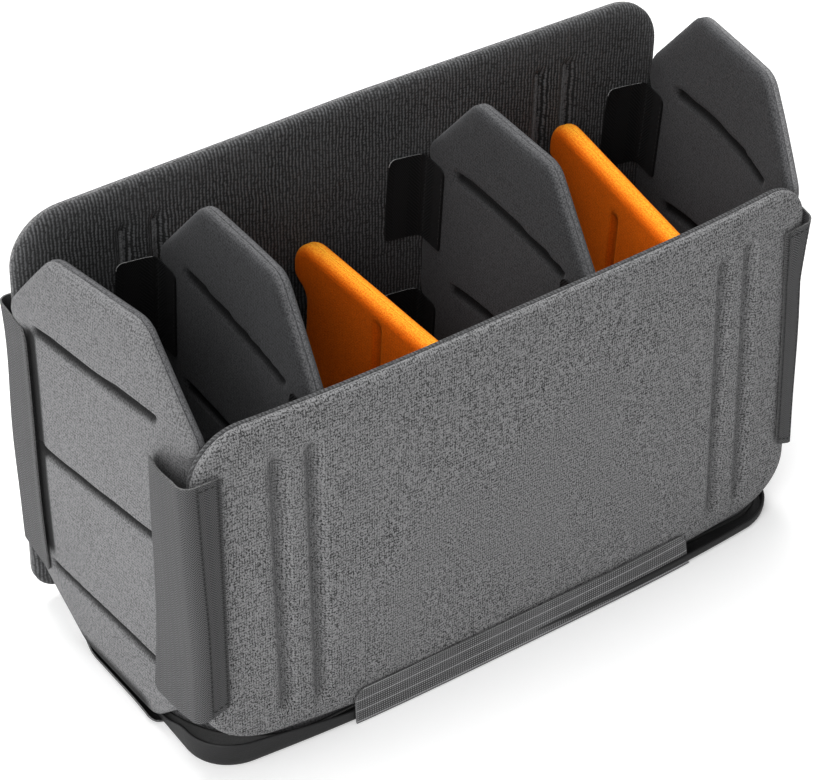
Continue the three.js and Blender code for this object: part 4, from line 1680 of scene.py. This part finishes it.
@dataclass
class CornerFlap:
    """A nylon flap sewn on an end's face and wrapped round the corner onto a long wall."""

    name: str
    end: PanelFrame
    outward: int
    side: int
    wall_ends_mm: tuple[float, float, float]
    wall_face_mm: float
    sewn_ends_mm: tuple[float, float]
    bulge_mm: float
    tops_mm: tuple[float, float, float]
    bottoms_mm: tuple[float, float, float]
    finishes: Finishes
    end_heights_mm: tuple[float, float, float] = (40.0, 115.0, 190.0)
    reach_mm: float = 13.0
    bend_radius_mm: float = 6.0
    gap_mm: float = 0.3
    strip_mm: float = 0.8
    strip_width_mm: float = 9.5
    thickness_mm: float = 0.9
    corner_clearance_mm: float = -0.5
    corner_y_mm: float = 70.5
    belly_share: float = 0.2
    lift_mm: float = 1.2
    rounds_mm: tuple[float, float] = (5.0, 1.5)
    hinge_run_mm: float = 13.0
    hem_mm: float = 1.4
    seam_mm: float = 10.2
    least_open: float = 0.55
    fold_mm: float = 0.5
    fold_pitch_mm: float = 17.0
    rows: int = 44

    def face_x(self, y: float, z: float) -> float:
        """How far out the end's outer face lies.

        Args:
            y: The depth, away from the middle.
            z: The height.

        Returns:
            The distance from the middle along X.
        """
        point = self.end.foot + self.end.out * self.end.half_thickness
        normal = self.end.out
        rest = normal[1] * (self.side * y - point[1]) + normal[2] * (z - point[2])
        flat = np.array([point[0] - rest / normal[0], self.side * y, z])
        return self.outward * float(self.end.moved(flat[None])[0, 0])

    def path(self, z: float, openness: float) -> np.ndarray:
        """Plan path at a height, with both axes pointing out of the corner.

        Args:
            z: The height.
            openness: How much of the bulge there is.

        Returns:
            The points.
        """
        stand = self.gap_mm + self.thickness_mm / 2
        lay = self.wall_face_mm + 2 * self.gap_mm + self.strip_mm + self.thickness_mm / 2
        wall_end = float(np.polyval(np.polyfit(self.end_heights_mm, self.wall_ends_mm, 2), z))
        sewn = float(np.interp(z, self.end_heights_mm[::2], self.sewn_ends_mm))
        reach = max(wall_end + self.bulge_mm * openness,
                    self.face_x(self.corner_y_mm, z) + self.corner_clearance_mm)
        turn_y = sewn + (lay - sewn) * self.belly_share
        turn_x = max(reach, self.face_x(turn_y, z) + stand)
        start = np.array([self.face_x(sewn, z) + stand, sewn])
        bend = np.array([turn_x, turn_y])
        last = np.array([reach, lay - self.bend_radius_mm])
        ease = np.linspace(0, 1, 22)[:, None]
        belly = start * (1 - ease) ** 2 + bend * 2 * ease * (1 - ease) + last * ease ** 2
        belly[:, 0] += self.lift_mm * smooth_step(belly[:, 1] - sewn, 7, 0)
        angle = np.linspace(0, np.pi / 2, 11)[1:]
        radius = self.bend_radius_mm
        turn = last + radius * np.column_stack([np.cos(angle) - 1, np.sin(angle)])
        run = np.linspace(turn[-1, 0], wall_end - self.reach_mm, 24)[1:]
        return np.concatenate([belly, turn, np.column_stack([run, np.full(len(run), lay)])])

    def build(self) -> bpy.types.Object:
        """Makes the flap, its hook strip and its stitches.

        Returns:
            The flap.
        """
        rows = []
        lowest, highest = min(self.bottoms_mm), max(self.tops_mm)
        for share in np.linspace(0, 1, self.rows):
            z = lowest + (highest - lowest) * share
            openness = (self.least_open
                        + (1 - self.least_open) * float(smooth_step(np.array(share), 0.35, 1.0)))
            plan = self.path(z, openness)
            travel = travelled(plan)
            along = travel / travel[-1]
            trim = both_cuts(self.rounds_mm, travel)
            bottom = np.interp(along, (0, 0.55, 1), self.bottoms_mm) + trim
            top = np.interp(along, (0, 0.55, 1), self.tops_mm) - trim
            fold = self.fold_mm * np.sin(z / self.fold_pitch_mm + 1.0) * np.sin(np.pi * along) ** 2
            rows.append(np.column_stack([self.outward * (plan[:, 0] + fold), self.side * plan[:, 1],
                                         bottom + (top - bottom) * share]))
        grid = np.stack(rows, axis=1) * MM
        left = travelled(grid[::-1, self.rows // 2])[::-1] / MM
        lines = sum(np.exp(-((left - line) / 0.5) ** 2) for line in (self.hem_mm, self.seam_mm))
        shade_and_marks = np.clip(lines * 0.75 + 0.2 * (left < self.seam_mm), 0, 1)
        sheet = ClothSheet(f"{self.name}_cloth", grid, self.finishes.flap_nylon, self.finishes.cut_edge,
                           self.thickness_mm, shade_and_marks)
        sewn = [(self.outward * self.wall_ends_mm[0], self.side * (max(self.sewn_ends_mm) + past), 100.0)
                for past in (0.5, self.hinge_run_mm)]
        piece = put(sheet.build(), self.name, "nylon", self.name, sewn_mm=sewn)
        wall = "front_wall_outer_pad" if self.side < 0 else "back_wall_outer_pad"
        self.strip(grid)
        self.sew(grid)
        return piece

    def strip(self, grid: np.ndarray) -> None:
        """The hook strip under the free edge.

        Args:
            grid: The flap's points.
        """
        columns = np.linspace(column_at(grid, -self.seam_mm),
                              column_at(grid, self.strip_width_mm - self.seam_mm), 9)
        under = -(self.thickness_mm + self.strip_mm + 0.1) / 2 * self.outward * self.side
        lines = [cloth_line(grid, upright(grid, column, 1.2), under)[0] for column in columns]
        name = self.name.replace("flap", "strip")
        tape = ClothSheet(f"{name}_tape", np.stack(lines), self.finishes.hooks, self.finishes.hooks,
                          self.strip_mm)
        put(tape.build(), self.name, "hook_strip", name)

    def sew(self, grid: np.ndarray) -> None:
        """The stitches: a long frame over the hook strip.

        Args:
            grid: The flap's points.
        """
        lift = (self.thickness_mm / 2 + 0.05) * self.outward * self.side
        near, far = column_at(grid, -self.hem_mm), column_at(grid, -self.seam_mm)
        lines = [upright(grid, near, 1), upright(grid, far, 1)]
        across = np.linspace(far, near, 12)
        lines += [np.column_stack([across, np.full(12, row)]) for row in (1.0, grid.shape[1] - 2.0)]
        thread = Stitches(self.finishes.thread).sew(f"{self.name}_stitches",
                                                    [cloth_line(grid, line, lift) for line in lines])
        put(thread, self.name, "nylon")


@dataclass
class BaseTray:
    """The stiff base: a coated cover with a rim, its pad and the nylon flaps along it."""

    finishes: Finishes
    corners: tuple[Corner, ...] = (Corner(-178.0, -78.8, 24), Corner(176, -86.2, 28), Corner(176, 79, 27),
                                   Corner(-176, 79, 27))
    corner_radius_mm: float = 27.0
    rim_mm: float = 1.6
    floor_mm: float = 1.0
    belly_mm: float = 5.5
    raised_mm: float = 9.0
    under_mm: float = 3.2
    flap_radius_mm: float = 6.0
    pad_gap_mm: float = 1.2

    def build(self) -> None:
        """Makes the pieces that lie under every panel."""
        self.cover()
        self.pad()
        for hand, outward in (("left", -1), ("right", 1)):
            self.lip(hand, outward)
        self.long_flap("base_flap_front", -1, ((-100.0, 106.7), (82.1, 84.9), 80.7, (21.5, 18.5)), 29.6)
        self.long_flap("base_flap_back", 1, ((-103.0, 103.0), (82.0, 82.0), 80.9, (20.0, 20.0)), 8.0)

    @staticmethod
    def select_edges(mesh: bpy.types.Mesh, wanted: Callable[[Vector, Vector], bool]) -> None:
        """Selects the edges that meet a test, in edit mode.

        Args:
            mesh: The mesh.
            wanted: The test, from the edge's two ends.
        """
        bpy.ops.object.mode_set(mode="EDIT")
        bpy.ops.mesh.select_mode(type="EDGE")
        bpy.ops.mesh.select_all(action="DESELECT")
        bpy.ops.object.mode_set(mode="OBJECT")
        for edge in mesh.edges:
            one, two = (mesh.vertices[index].co for index in edge.vertices)
            edge.select = wanted(one, two)
        bpy.ops.object.mode_set(mode="EDIT")

    def select_corner(self, mesh: bpy.types.Mesh, x: float, y: float) -> None:
        """Selects the upright edge at a corner, in edit mode.

        Args:
            mesh: The mesh.
            x: The corner's place along X, in metres.
            y: Its place along Y.
        """
        self.select_edges(mesh, lambda *ends: max(max(abs(end.x - x), abs(end.y - y)) for end in ends) < 1e-5)

    def cover(self) -> None:
        """Models the cover by hand: a block with round corners, hollowed from above, raised at one corner."""
        height = float(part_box("base_pad")[1][2])
        clear_selection()
        bpy.ops.mesh.primitive_cube_add(size=1, location=(0, 0, height / 2), scale=(0.3, 0.1, height))
        cover = bpy.context.active_object
        cover.name = "base_cover_shell"
        bpy.ops.object.transform_apply(location=True, rotation=True, scale=True)
        mesh = cover.data
        for corner in self.corners:
            x, y = math.copysign(0.15, corner.x), math.copysign(0.05, corner.y)
            self.select_corner(mesh, x, y)
            bpy.ops.transform.translate(value=(corner.x * MM - x, corner.y * MM - y, 0))
            bpy.ops.object.mode_set(mode="OBJECT")
        for corner in self.corners:
            self.select_corner(mesh, corner.x * MM, corner.y * MM)
            bpy.ops.mesh.bevel(offset=corner.radius * MM, segments=18, affect="EDGES")
            bpy.ops.object.mode_set(mode="OBJECT")
        self.select_edges(mesh, lambda one, two: max(one.z, two.z) < 1e-5)
        bpy.ops.mesh.bevel(offset=self.under_mm * MM, segments=5, affect="EDGES")
        bpy.ops.object.mode_set(mode="OBJECT")
        self.select_edges(mesh, lambda one, two: (one - two).length > 0.09)
        bpy.ops.mesh.subdivide(number_cuts=36)
        bpy.ops.mesh.select_mode(type="FACE")
        bpy.ops.mesh.select_all(action="DESELECT")
        bpy.ops.object.mode_set(mode="OBJECT")
        for face in mesh.polygons:
            face.select = face.normal.z > 0.9
        bpy.ops.object.mode_set(mode="EDIT")
        bpy.ops.mesh.inset(thickness=self.rim_mm * MM, depth=0)
        down = self.floor_mm * MM - height
        bpy.ops.mesh.extrude_region_move(TRANSFORM_OT_translate={"value": (0, 0, down)})
        bpy.ops.object.mode_set(mode="OBJECT")
        choose(cover)
        turned_up, pushed_out = (cover.vertex_groups.new(name=name) for name in ("turned_up", "pushed_out"))
        for vertex in mesh.vertices:
            x, y, z = vertex.co / MM
            share = smooth_step(-x, 60, 172) ** 1.5 * smooth_step(-y, 32, 56)
            risen = np.clip((z - self.floor_mm) / (height / MM - self.floor_mm), 0, 1)
            turned_up.add([vertex.index], float(share * risen), "REPLACE")
            pushed_out.add([vertex.index], float(Warp().swell(x) * smooth_step(-y, 30, 70)), "REPLACE")
        for name, axis, strength in (("turned_up", "Z", self.raised_mm), ("pushed_out", "Y", -self.belly_mm)):
            moved = cover.modifiers.new(name, "DISPLACE")
            moved.direction = axis
            moved.mid_level = 0
            moved.strength = strength * MM
            moved.vertex_group = name
            bpy.ops.object.modifier_apply(modifier=name)
        soft = cover.modifiers.new("soft_edges", "BEVEL")
        soft.width = 0.7 * MM
        soft.segments = 3
        soft.limit_method = "ANGLE"
        soft.angle_limit = math.radians(50)
        bpy.ops.object.modifier_apply(modifier=soft.name)
        bpy.ops.object.shade_smooth_by_angle(angle=math.radians(35))
        mesh.materials.append(self.finishes.coated)
        put(cover, "insert", "base_cover", "base_cover")

    def pad(self) -> None:
        """The thin pad on the floor of the base."""
        low, high = (np.array(corner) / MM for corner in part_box("base_pad"))
        x, depth = (high[0] - low[0]) / 2 - self.pad_gap_mm, high[1] - low[1] - 2 * self.pad_gap_mm
        place = PanelFrame(np.array([0.0, low[1] + self.pad_gap_mm, low[2]]), *np.eye(3), x, depth,
                           high[2] - low[2])
        radius = self.corner_radius_mm - 2
        corners = [Corner(-x, 0, radius * 2.4, True), Corner(x, 0, radius, True),
                   Corner(x, depth, radius, True), Corner(-x, depth, radius, True)]
        thin = Rim(((0.2, 0.05), (0.0, 0.4), (0.1, 1.0), (0.5, 1.6), (1.2, 2.0), (2.2, 2.2)), ((3.0, 0.05),))
        half = FoamHalf(Outline(corners), thin, spread(-x, x, 4.0, [], 4.0), spread(0, depth, 4.0, [], 4.0),
                        uneven_mm=0.15)
        piece = half.build("base_pad_cloth", place, self.finishes.lining)
        put(piece, "insert", "ribbed_lining", "base_pad")

    def lip(self, hand: str, outward: int) -> None:
        """The thin lip of the cover that turns up under an end.

        Args:
            hand: Which end it is.
            outward: -1 for the left, 1 for the right.
        """
        ys = np.linspace(-33.0, 36.5, 60)
        past = np.clip(-26.0 - ys, 0, 7) / 7
        edge = 176.2 + 5.2 * np.sqrt(1 - past ** 2) - 1.2 * smooth_step(ys, 20, 36) + 0.5 * np.sin(ys / 12.0)
        tall = 3.6 * (1 - 0.6 * past) * (1 - 0.35 * smooth_step(ys, 12, 30)) + 4.0 * smooth_step(ys, 27, 36.5)
        profile = ((0.0, 0.0, 0.0), (0.45, 0.0, 0.0), (0.8, 0.0, 0.12), (0.97, 0.0, 0.4), (1.0, 0.5, 0.72),
                   (1.0, 1.3, 1.0))
        grid = np.empty((len(profile), len(ys), 3))
        for index, (share, lean, risen) in enumerate(profile):
            x = 168.0 + (edge - 168.0) * share + lean
            grid[index] = np.column_stack([outward * x, ys, 0.6 + tall * risen])
        grid *= MM
        sheet = ClothSheet(f"base_lip_{hand}", grid, self.finishes.coated, self.finishes.cut_edge, 0.9)
        put(sheet.build(), "insert", "base_cover", "base_cover")

    def round_top(self, offset: np.ndarray, half: float) -> np.ndarray:
        """How much the round upper corners take off a flap.

        Args:
            offset: Distances from the flap's middle.
            half: Half the flap's length.

        Returns:
            The cut at each distance.
        """
        past = np.clip(np.abs(offset) - (half - self.flap_radius_mm), 0, self.flap_radius_mm)
        return self.flap_radius_mm - np.sqrt(self.flap_radius_mm ** 2 - past ** 2 + 1e-9)

    def long_flap(self, name: str, side: int, form: tuple, free_mm: float) -> None:
        """A flap that folds up on the outside of a long wall.

        Args:
            name: Its node.
            side: -1 at the front, 1 at the back.
            form: Its left and right end, how far out its foot lies at each, how far out its
                top lies, and how high it reaches at each end.
            free_mm: How high it follows its hinge wholly, passed on with the hinge's place; nothing bends the
                flap by it.
        """
        (left, right), feet, out, tops = form
        xs = np.linspace(left, right, 80)
        trim = self.round_top(xs - (left + right) / 2, (right - left) / 2)
        foot, top = np.interp(xs, (left, right), feet), np.interp(xs, (left, right), tops) - trim
        grid = np.empty((len(xs), 14, 3))
        for row, share in enumerate(np.linspace(0, 1, 14)):
            y = foot + (out - foot) * share ** 0.55 + 0.35 * share * np.sin(xs / 31.0)
            y = y + (self.belly_mm * Warp().swell(xs) if side < 0 else 0)
            grid[:, row] = np.column_stack([xs, side * y, 0.6 + (top - 0.6) * share])
        grid *= MM
        sheet = ClothSheet(f"{name}_cloth", grid, self.finishes.base_nylon, self.finishes.cut_edge, 0.8)
        sewn = [(0.0, side * out, height) for height in (0.6, free_mm)]
        piece = put(sheet.build(), name, "nylon", name, sewn_mm=sewn)

    def short_flap(self, name: str, panel: PanelFrame) -> None:
        """A flap that folds up on the inside of an end, shaped from its node's own corners.

        Args:
            name: Its node.
            panel: The end that it lies on.
        """
        points = node_points(name) / MM
        middle = points.mean(axis=0)
        _, _, axes = np.linalg.svd(points - middle, full_matrices=False)
        along = axes[0] * math.copysign(1, axes[0][1])
        up = axes[1] * math.copysign(1, axes[1][2])
        wide, tall = (points - middle) @ along, (points - middle) @ up
        ys = np.linspace(wide.min(), wide.max(), 28)
        trim = self.round_top(ys, wide.max())
        share = np.linspace(0, 1, 9)
        heights = tall.min() + (tall.max() - trim[:, None] - tall.min()) * share
        grid = panel.moved(middle + ys[:, None, None] * along + heights[:, :, None] * up) * MM
        sheet = ClothSheet(f"{name}_cloth", grid, self.finishes.base_nylon, self.finishes.cut_edge, 0.8)
        piece = put(sheet.build(), name, "nylon", name)


@dataclass
class Studio:
    """Pale floor, soft light and the photograph's point of view."""

    azimuth: float = -36.0526
    elevation: float = 38.7881
    roll: float = 1.2705
    distance_mm: float = 1292.677
    target_mm: tuple[float, float, float] = (1.8045, -1.75, 118.437)
    focal_px: float = 2610.552
    centre_px: tuple[float, float] = (431.495, 369.922)
    image_px: tuple[int, int] = (823, 780)
    sensor_mm: float = 36.0
    floor_glow: float = 0.26
    room_light: float = 0.38

    def build(self) -> None:
        """Makes the floor, the light and the camera."""
        self.floor()
        self.light()
        self.camera()

    def floor(self) -> None:
        """A wide pale floor."""
        clear_selection()
        bpy.ops.mesh.primitive_plane_add(size=12, location=(0, 0, 0))
        floor = bpy.context.active_object
        floor.name = "floor"
        material = bpy.data.materials.new("pale_floor")
        nodes = Nodes(material)
        plain = nodes.node("ShaderNodeBsdfDiffuse", {}, {"Color": (0.9, 0.9, 0.9, 1)}).outputs[0]
        glow = nodes.node("ShaderNodeEmission", {}, {"Strength": self.floor_glow}).outputs[0]
        lit = nodes.node("ShaderNodeAddShader", {}, {0: plain, 1: glow}).outputs[0]
        nodes.node("ShaderNodeOutputMaterial", {}, {"Surface": nodes.seen_as(plain, lit)})
        floor.data.materials.append(material)

    def lamp(self, name: str, place: tuple, aim: tuple, size: float, power: float) -> None:
        """Adds a soft lamp.

        Args:
            name: Its name.
            place: Where it hangs, in metres.
            aim: Where it points.
            size: Its side, in metres.
            power: Its power, in watts.
        """
        light = bpy.data.lights.new(name, "AREA")
        light.shape = "SQUARE"
        light.size = size
        light.energy = power
        lamp = bpy.data.objects.new(name, light)
        lamp.location = place
        lamp.rotation_euler = (Vector(place) - Vector(aim)).to_track_quat("Z", "Y").to_euler()
        bpy.context.collection.objects.link(lamp)

    def light(self) -> None:
        """A bright even room with one broad lamp above and to the left."""
        world = bpy.data.worlds.new("room")
        bpy.context.scene.world = world
        nodes = Nodes(world)
        room = nodes.node("ShaderNodeBackground", {},
                          {"Color": (1, 1, 1, 1), "Strength": self.room_light}).outputs[0]
        white = nodes.node("ShaderNodeBackground", {}, {"Color": (1, 1, 1, 1)}).outputs[0]
        nodes.node("ShaderNodeOutputWorld", {}, {"Surface": nodes.seen_as(room, white)})
        self.lamp("key", (-2.0, -1.3, 1.75), (0, 0, 0.1), 1.9, 46)
        self.lamp("bounce", (-0.46, 0.02, 0.03), (-0.18, 0.02, 0.03), 0.3, 0.6)
        self.lamp("top", (0.1, 0.5, 1.9), (0, 0, 0.1), 1.3, 34)

    def camera(self) -> None:
        """The camera at the photograph's angle."""
        turn, rise, roll = (math.radians(angle) for angle in (self.azimuth, self.elevation, self.roll))
        back = Vector((math.sin(turn) * math.cos(rise), -math.cos(turn) * math.cos(rise), math.sin(rise)))
        right = Vector((math.cos(turn), math.sin(turn), 0))
        up = right.cross(-back)
        across = right * math.cos(roll) + up * math.sin(roll)
        upward = up * math.cos(roll) - right * math.sin(roll)
        wide, tall = self.image_px
        data = bpy.data.cameras.new("camera")
        data.sensor_width = self.sensor_mm
        data.lens = self.focal_px / wide * self.sensor_mm
        data.shift_x = (wide / 2 - self.centre_px[0]) / wide
        data.shift_y = (self.centre_px[1] - tall / 2) / wide
        data.clip_start = 0.01
        camera = bpy.data.objects.new("camera", data)
        rotation = Matrix((across, upward, back)).transposed().to_4x4()
        place = (Vector(self.target_mm) + back * self.distance_mm) * MM
        camera.matrix_world = Matrix.Translation(place) @ rotation
        bpy.context.collection.objects.link(camera)
        bpy.context.scene.camera = camera
        bpy.context.scene.view_settings.view_transform = "Standard"


@dataclass
class Insert:
    """The whole insert, built piece by piece."""

    finishes: Finishes
    upper_tab: tuple[float, float] = (135.0, 184.0)
    lower_tab: tuple[float, float] = (50.0, 101.0)
    right_end_upper_tab: tuple[float, float] = (127.0, 176.0)
    low_tab: tuple[float, float] = (40.0, 128.0)
    tab_reach: float = 22.0
    right_end_tab_reach: float = 26.0
    low_tab_reach: float = 18.0
    tab_band: float = 19.0

    def tabs(self, name: str, body: str, panel: PanelFrame, face_out: int, wall_y: float,
             spans: dict[str, tuple[tuple[float, float], float]], band: float) -> None:
        """Makes a panel's tabs at the front and back.

        Args:
            name: The panel's name.
            body: The body that they move with.
            panel: Where the panel stands.
            face_out: 1 where they lie on the panel's outer face, -1 on the other one.
            wall_y: How far the walls' inner faces lie from the middle.
            spans: The ending of each tab's name, with its span and reach.
            band: How wide the sewn band is.
        """
        for depth, side in (("front", -1), ("back", 1)):
            pushed = BaseTray.belly_mm * float(Warp().swell(panel.foot[0])) if side < 0 else 0.0
            for ending, (span, reach) in spans.items():
                HookTab(f"{name}_tab_{depth}{ending}", body, panel, face_out, side, wall_y + pushed, span,
                        reach, band + pushed, self.finishes).build()

    def build(self) -> None:
        """Makes every piece."""
        f = self.finishes
        base = BaseTray(f)
        base.build()
        front_warp = Warp(bellies=(base.belly_mm, base.belly_mm - 1))
        LongWall("front_wall", (
            Corner(-180, 10, 42, True), Corner(-95, 2.5, 80), Corner(178, 0, 28, True),
            Corner(168.5, 205.3, 22, True), Corner(-180, 200.5, 28, True),
        ), (
            ((-135.1, 21.4), (-138.1, 178.4)), ((-116.5, 17.9), (-119.9, 178.3)),
            ((126.2, 14.5), (116.2, 180.4)), ((144.8, 13.6), (132.8, 183.8)),
        ), f, front_warp).build()
        LongWall("back_wall", (
            Corner(-190, 0, 28, True), Corner(194.5, 1.5, 17, True), Corner(188, 228.2, 28, True),
            Corner(0, 230.2, 600), Corner(-191, 226.7, 30, True),
        ), tuple(((x, 20.0), (x, 206.0)) for x in (-131.5, -113.5, 113.5, 131.5)), f).build()
        inner_y = -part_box("front_wall_inner_pad")[1][1] / MM
        outer_y = -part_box("front_wall_outer_pad")[0][1] / MM
        grey = (f.divider_pile, f.divider_pile), ("divider_fabric", "divider_fabric")
        outer = (f.end_pile, f.divider_pile), ("end_fabric", "divider_fabric")
        left = EightSidedPanel("left_end", "insert", ("outer", "inner"), *outer,
                               (self.upper_tab, self.lower_tab), (
            Level((-47, 191.5), (44, 195)), Level((-50, 120), (47, 122)), Level((-50, 46), (44.5, 39.5)),
        ), f.board, Warp((0, 40, 116, 191, 236), (2.8, 2.3, 2.3, 2.4, 0.6), (-6.5, -1.5, -0.8, -0.8, 1.0),
                        (0,) * 5, (0, 1.5, 5, 2.5, 0)),
            # A shallow dent beside the back flap's sewn edge with painted shade along it, and a band of
            # painted shadow on the foot above the base lip.
            (Channel((-50.5, 50), (-50.5, 188), 11.5, 1.2, ChannelForm.ROUND, shade_and_marks=1.0),
             Channel((-36, 0.5), (30, 1.5), 20, 0.1, ChannelForm.ROUND)), low_chamfer=38.0)
        right = EightSidedPanel("right_end", "insert", ("outer", "inner"), *outer, (
            self.right_end_upper_tab, self.lower_tab), (
            Level((-40.4, 188), (46.1, 185), 3.5), Level((-37.7, 119.3), (46, 119), 5),
            Level((-38, 50), (46, 50), 4),
        ), f.board, Warp((0, 60, 150, 191, 236), (0, 0, 0.1, 0.3, -1.5), (0,) * 5, (2, 3, 4.5, 5, 3)))
        for hand, outward, end in (("left", -1, left), ("right", 1, right)):
            panel = end.build()
            base.short_flap(f"base_flap_{hand}", panel)
            upper, reach = (self.upper_tab, self.tab_reach) if outward < 0 else (
                self.right_end_upper_tab, self.right_end_tab_reach)
            spans = {"_upper": (upper, reach), "_lower": (self.lower_tab, self.tab_reach)}
            self.tabs(f"{hand}_end", "insert", panel, -1, inner_y, spans, self.tab_band)
            self.corner_flaps(hand, outward, panel, outer_y)
        spans = {"_upper": (self.upper_tab, self.tab_reach), "_lower": (self.lower_tab, self.tab_reach)}
        for hand, warp, levels in (("left", Warp((0, 236), (1.5, 1.5), (0, 0), (-3.5, -3.5)), (
            Level((-42.7, 193), (44.6, 185)), Level((-41.7, 127), (44.6, 124)), Level((-42, 55), (44, 52)),
        )), ("right", Warp(), (
            Level((-41.4, 189), (51.9, 186), 2.5), Level((-38.3, 122), (46, 124), 3.4),
            Level((-40, 50), (46, 52), 3),
        ))):
            name = f"tall_divider_{hand}"
            panel = EightSidedPanel(name, name, ("left", "right"), *grey, (self.upper_tab, self.lower_tab),
                                    levels, f.board, warp).build()
            self.tabs(name, name, panel, 1, inner_y, spans, self.tab_band)
        for hand, channel_top, drop, warp in (
                ("left", 155.0, 2.5, Warp((0, 170), (-1.7, -1.7), (1.4, 1.4), (0, 0))),
                ("right", 150.0, 0.0, Warp((0, 170), (3.4, 3.4), (-2.9, -2.9), (0, 0)))):
            name = f"low_divider_{hand}"
            panel = LowDivider(name, f, channel_top=channel_top, top_drop=drop, warp=warp).build()
            self.tabs(name, name, panel, -1, inner_y, {"": (self.low_tab, self.low_tab_reach)},
                      self.tab_band + 1)
        self.finish_nodes()

    def corner_flaps(self, hand: str, outward: int, panel: PanelFrame, outer_y: float) -> None:
        """Makes the two flaps at one end.

        Args:
            hand: Which end it is.
            outward: -1 for the left, 1 for the right.
            panel: Where the end stands.
            outer_y: How far the long walls' outer faces lie from the middle.
        """
        if outward < 0:
            front = ("front", -1, (180.0, 180.0, 180.0), (outer_y - 42, outer_y - 36.5), 6.5,
                     (182.0, 189.0, 188.0), (31.0, 40.0, 48.0))
            back = ("back", 1, (188.0, 179.5, 181.0), (outer_y - 30, outer_y - 30), 0.5,
                    (192.0, 192.0, 190.0), (42.0, 45.0, 48.0))
        else:
            front = ("front", -1, (179.5, 174.5, 168.0), (outer_y - 30, outer_y - 30), 1.0,
                     (186.5, 189.0, 187.0), (34.0, 40.0, 48.0))
            back = ("back", 1, (196.0, 196.2, 196.5), (outer_y - 24, outer_y - 24), 1.5,
                    (185.0, 188.0, 190.0), (42.0, 45.0, 48.0))
        for depth, side, wall_ends, sewn, bulge, tops, bottoms in (front, back):
            CornerFlap(f"corner_flap_{depth}_{hand}", panel, outward, side, wall_ends, outer_y, sewn, bulge,
                       tops, bottoms, self.finishes, hinge_run_mm=13.0 if side < 0 else 20.0).build()

    def finish_nodes(self) -> None:
        """Gives the CAD nodes that stay their finishes."""
        for name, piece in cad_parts.items():
            if name.endswith("_board"):
                piece.data.materials.clear()
                piece.data.materials.append(self.finishes.board)


def main() -> None:
    """Builds the insert and its studio."""
    logging.basicConfig(level=logging.INFO, format="%(name)s: %(message)s")
    Studio().build()
    Insert(Finishes()).build()


if __name__ == "__main__":
    main()
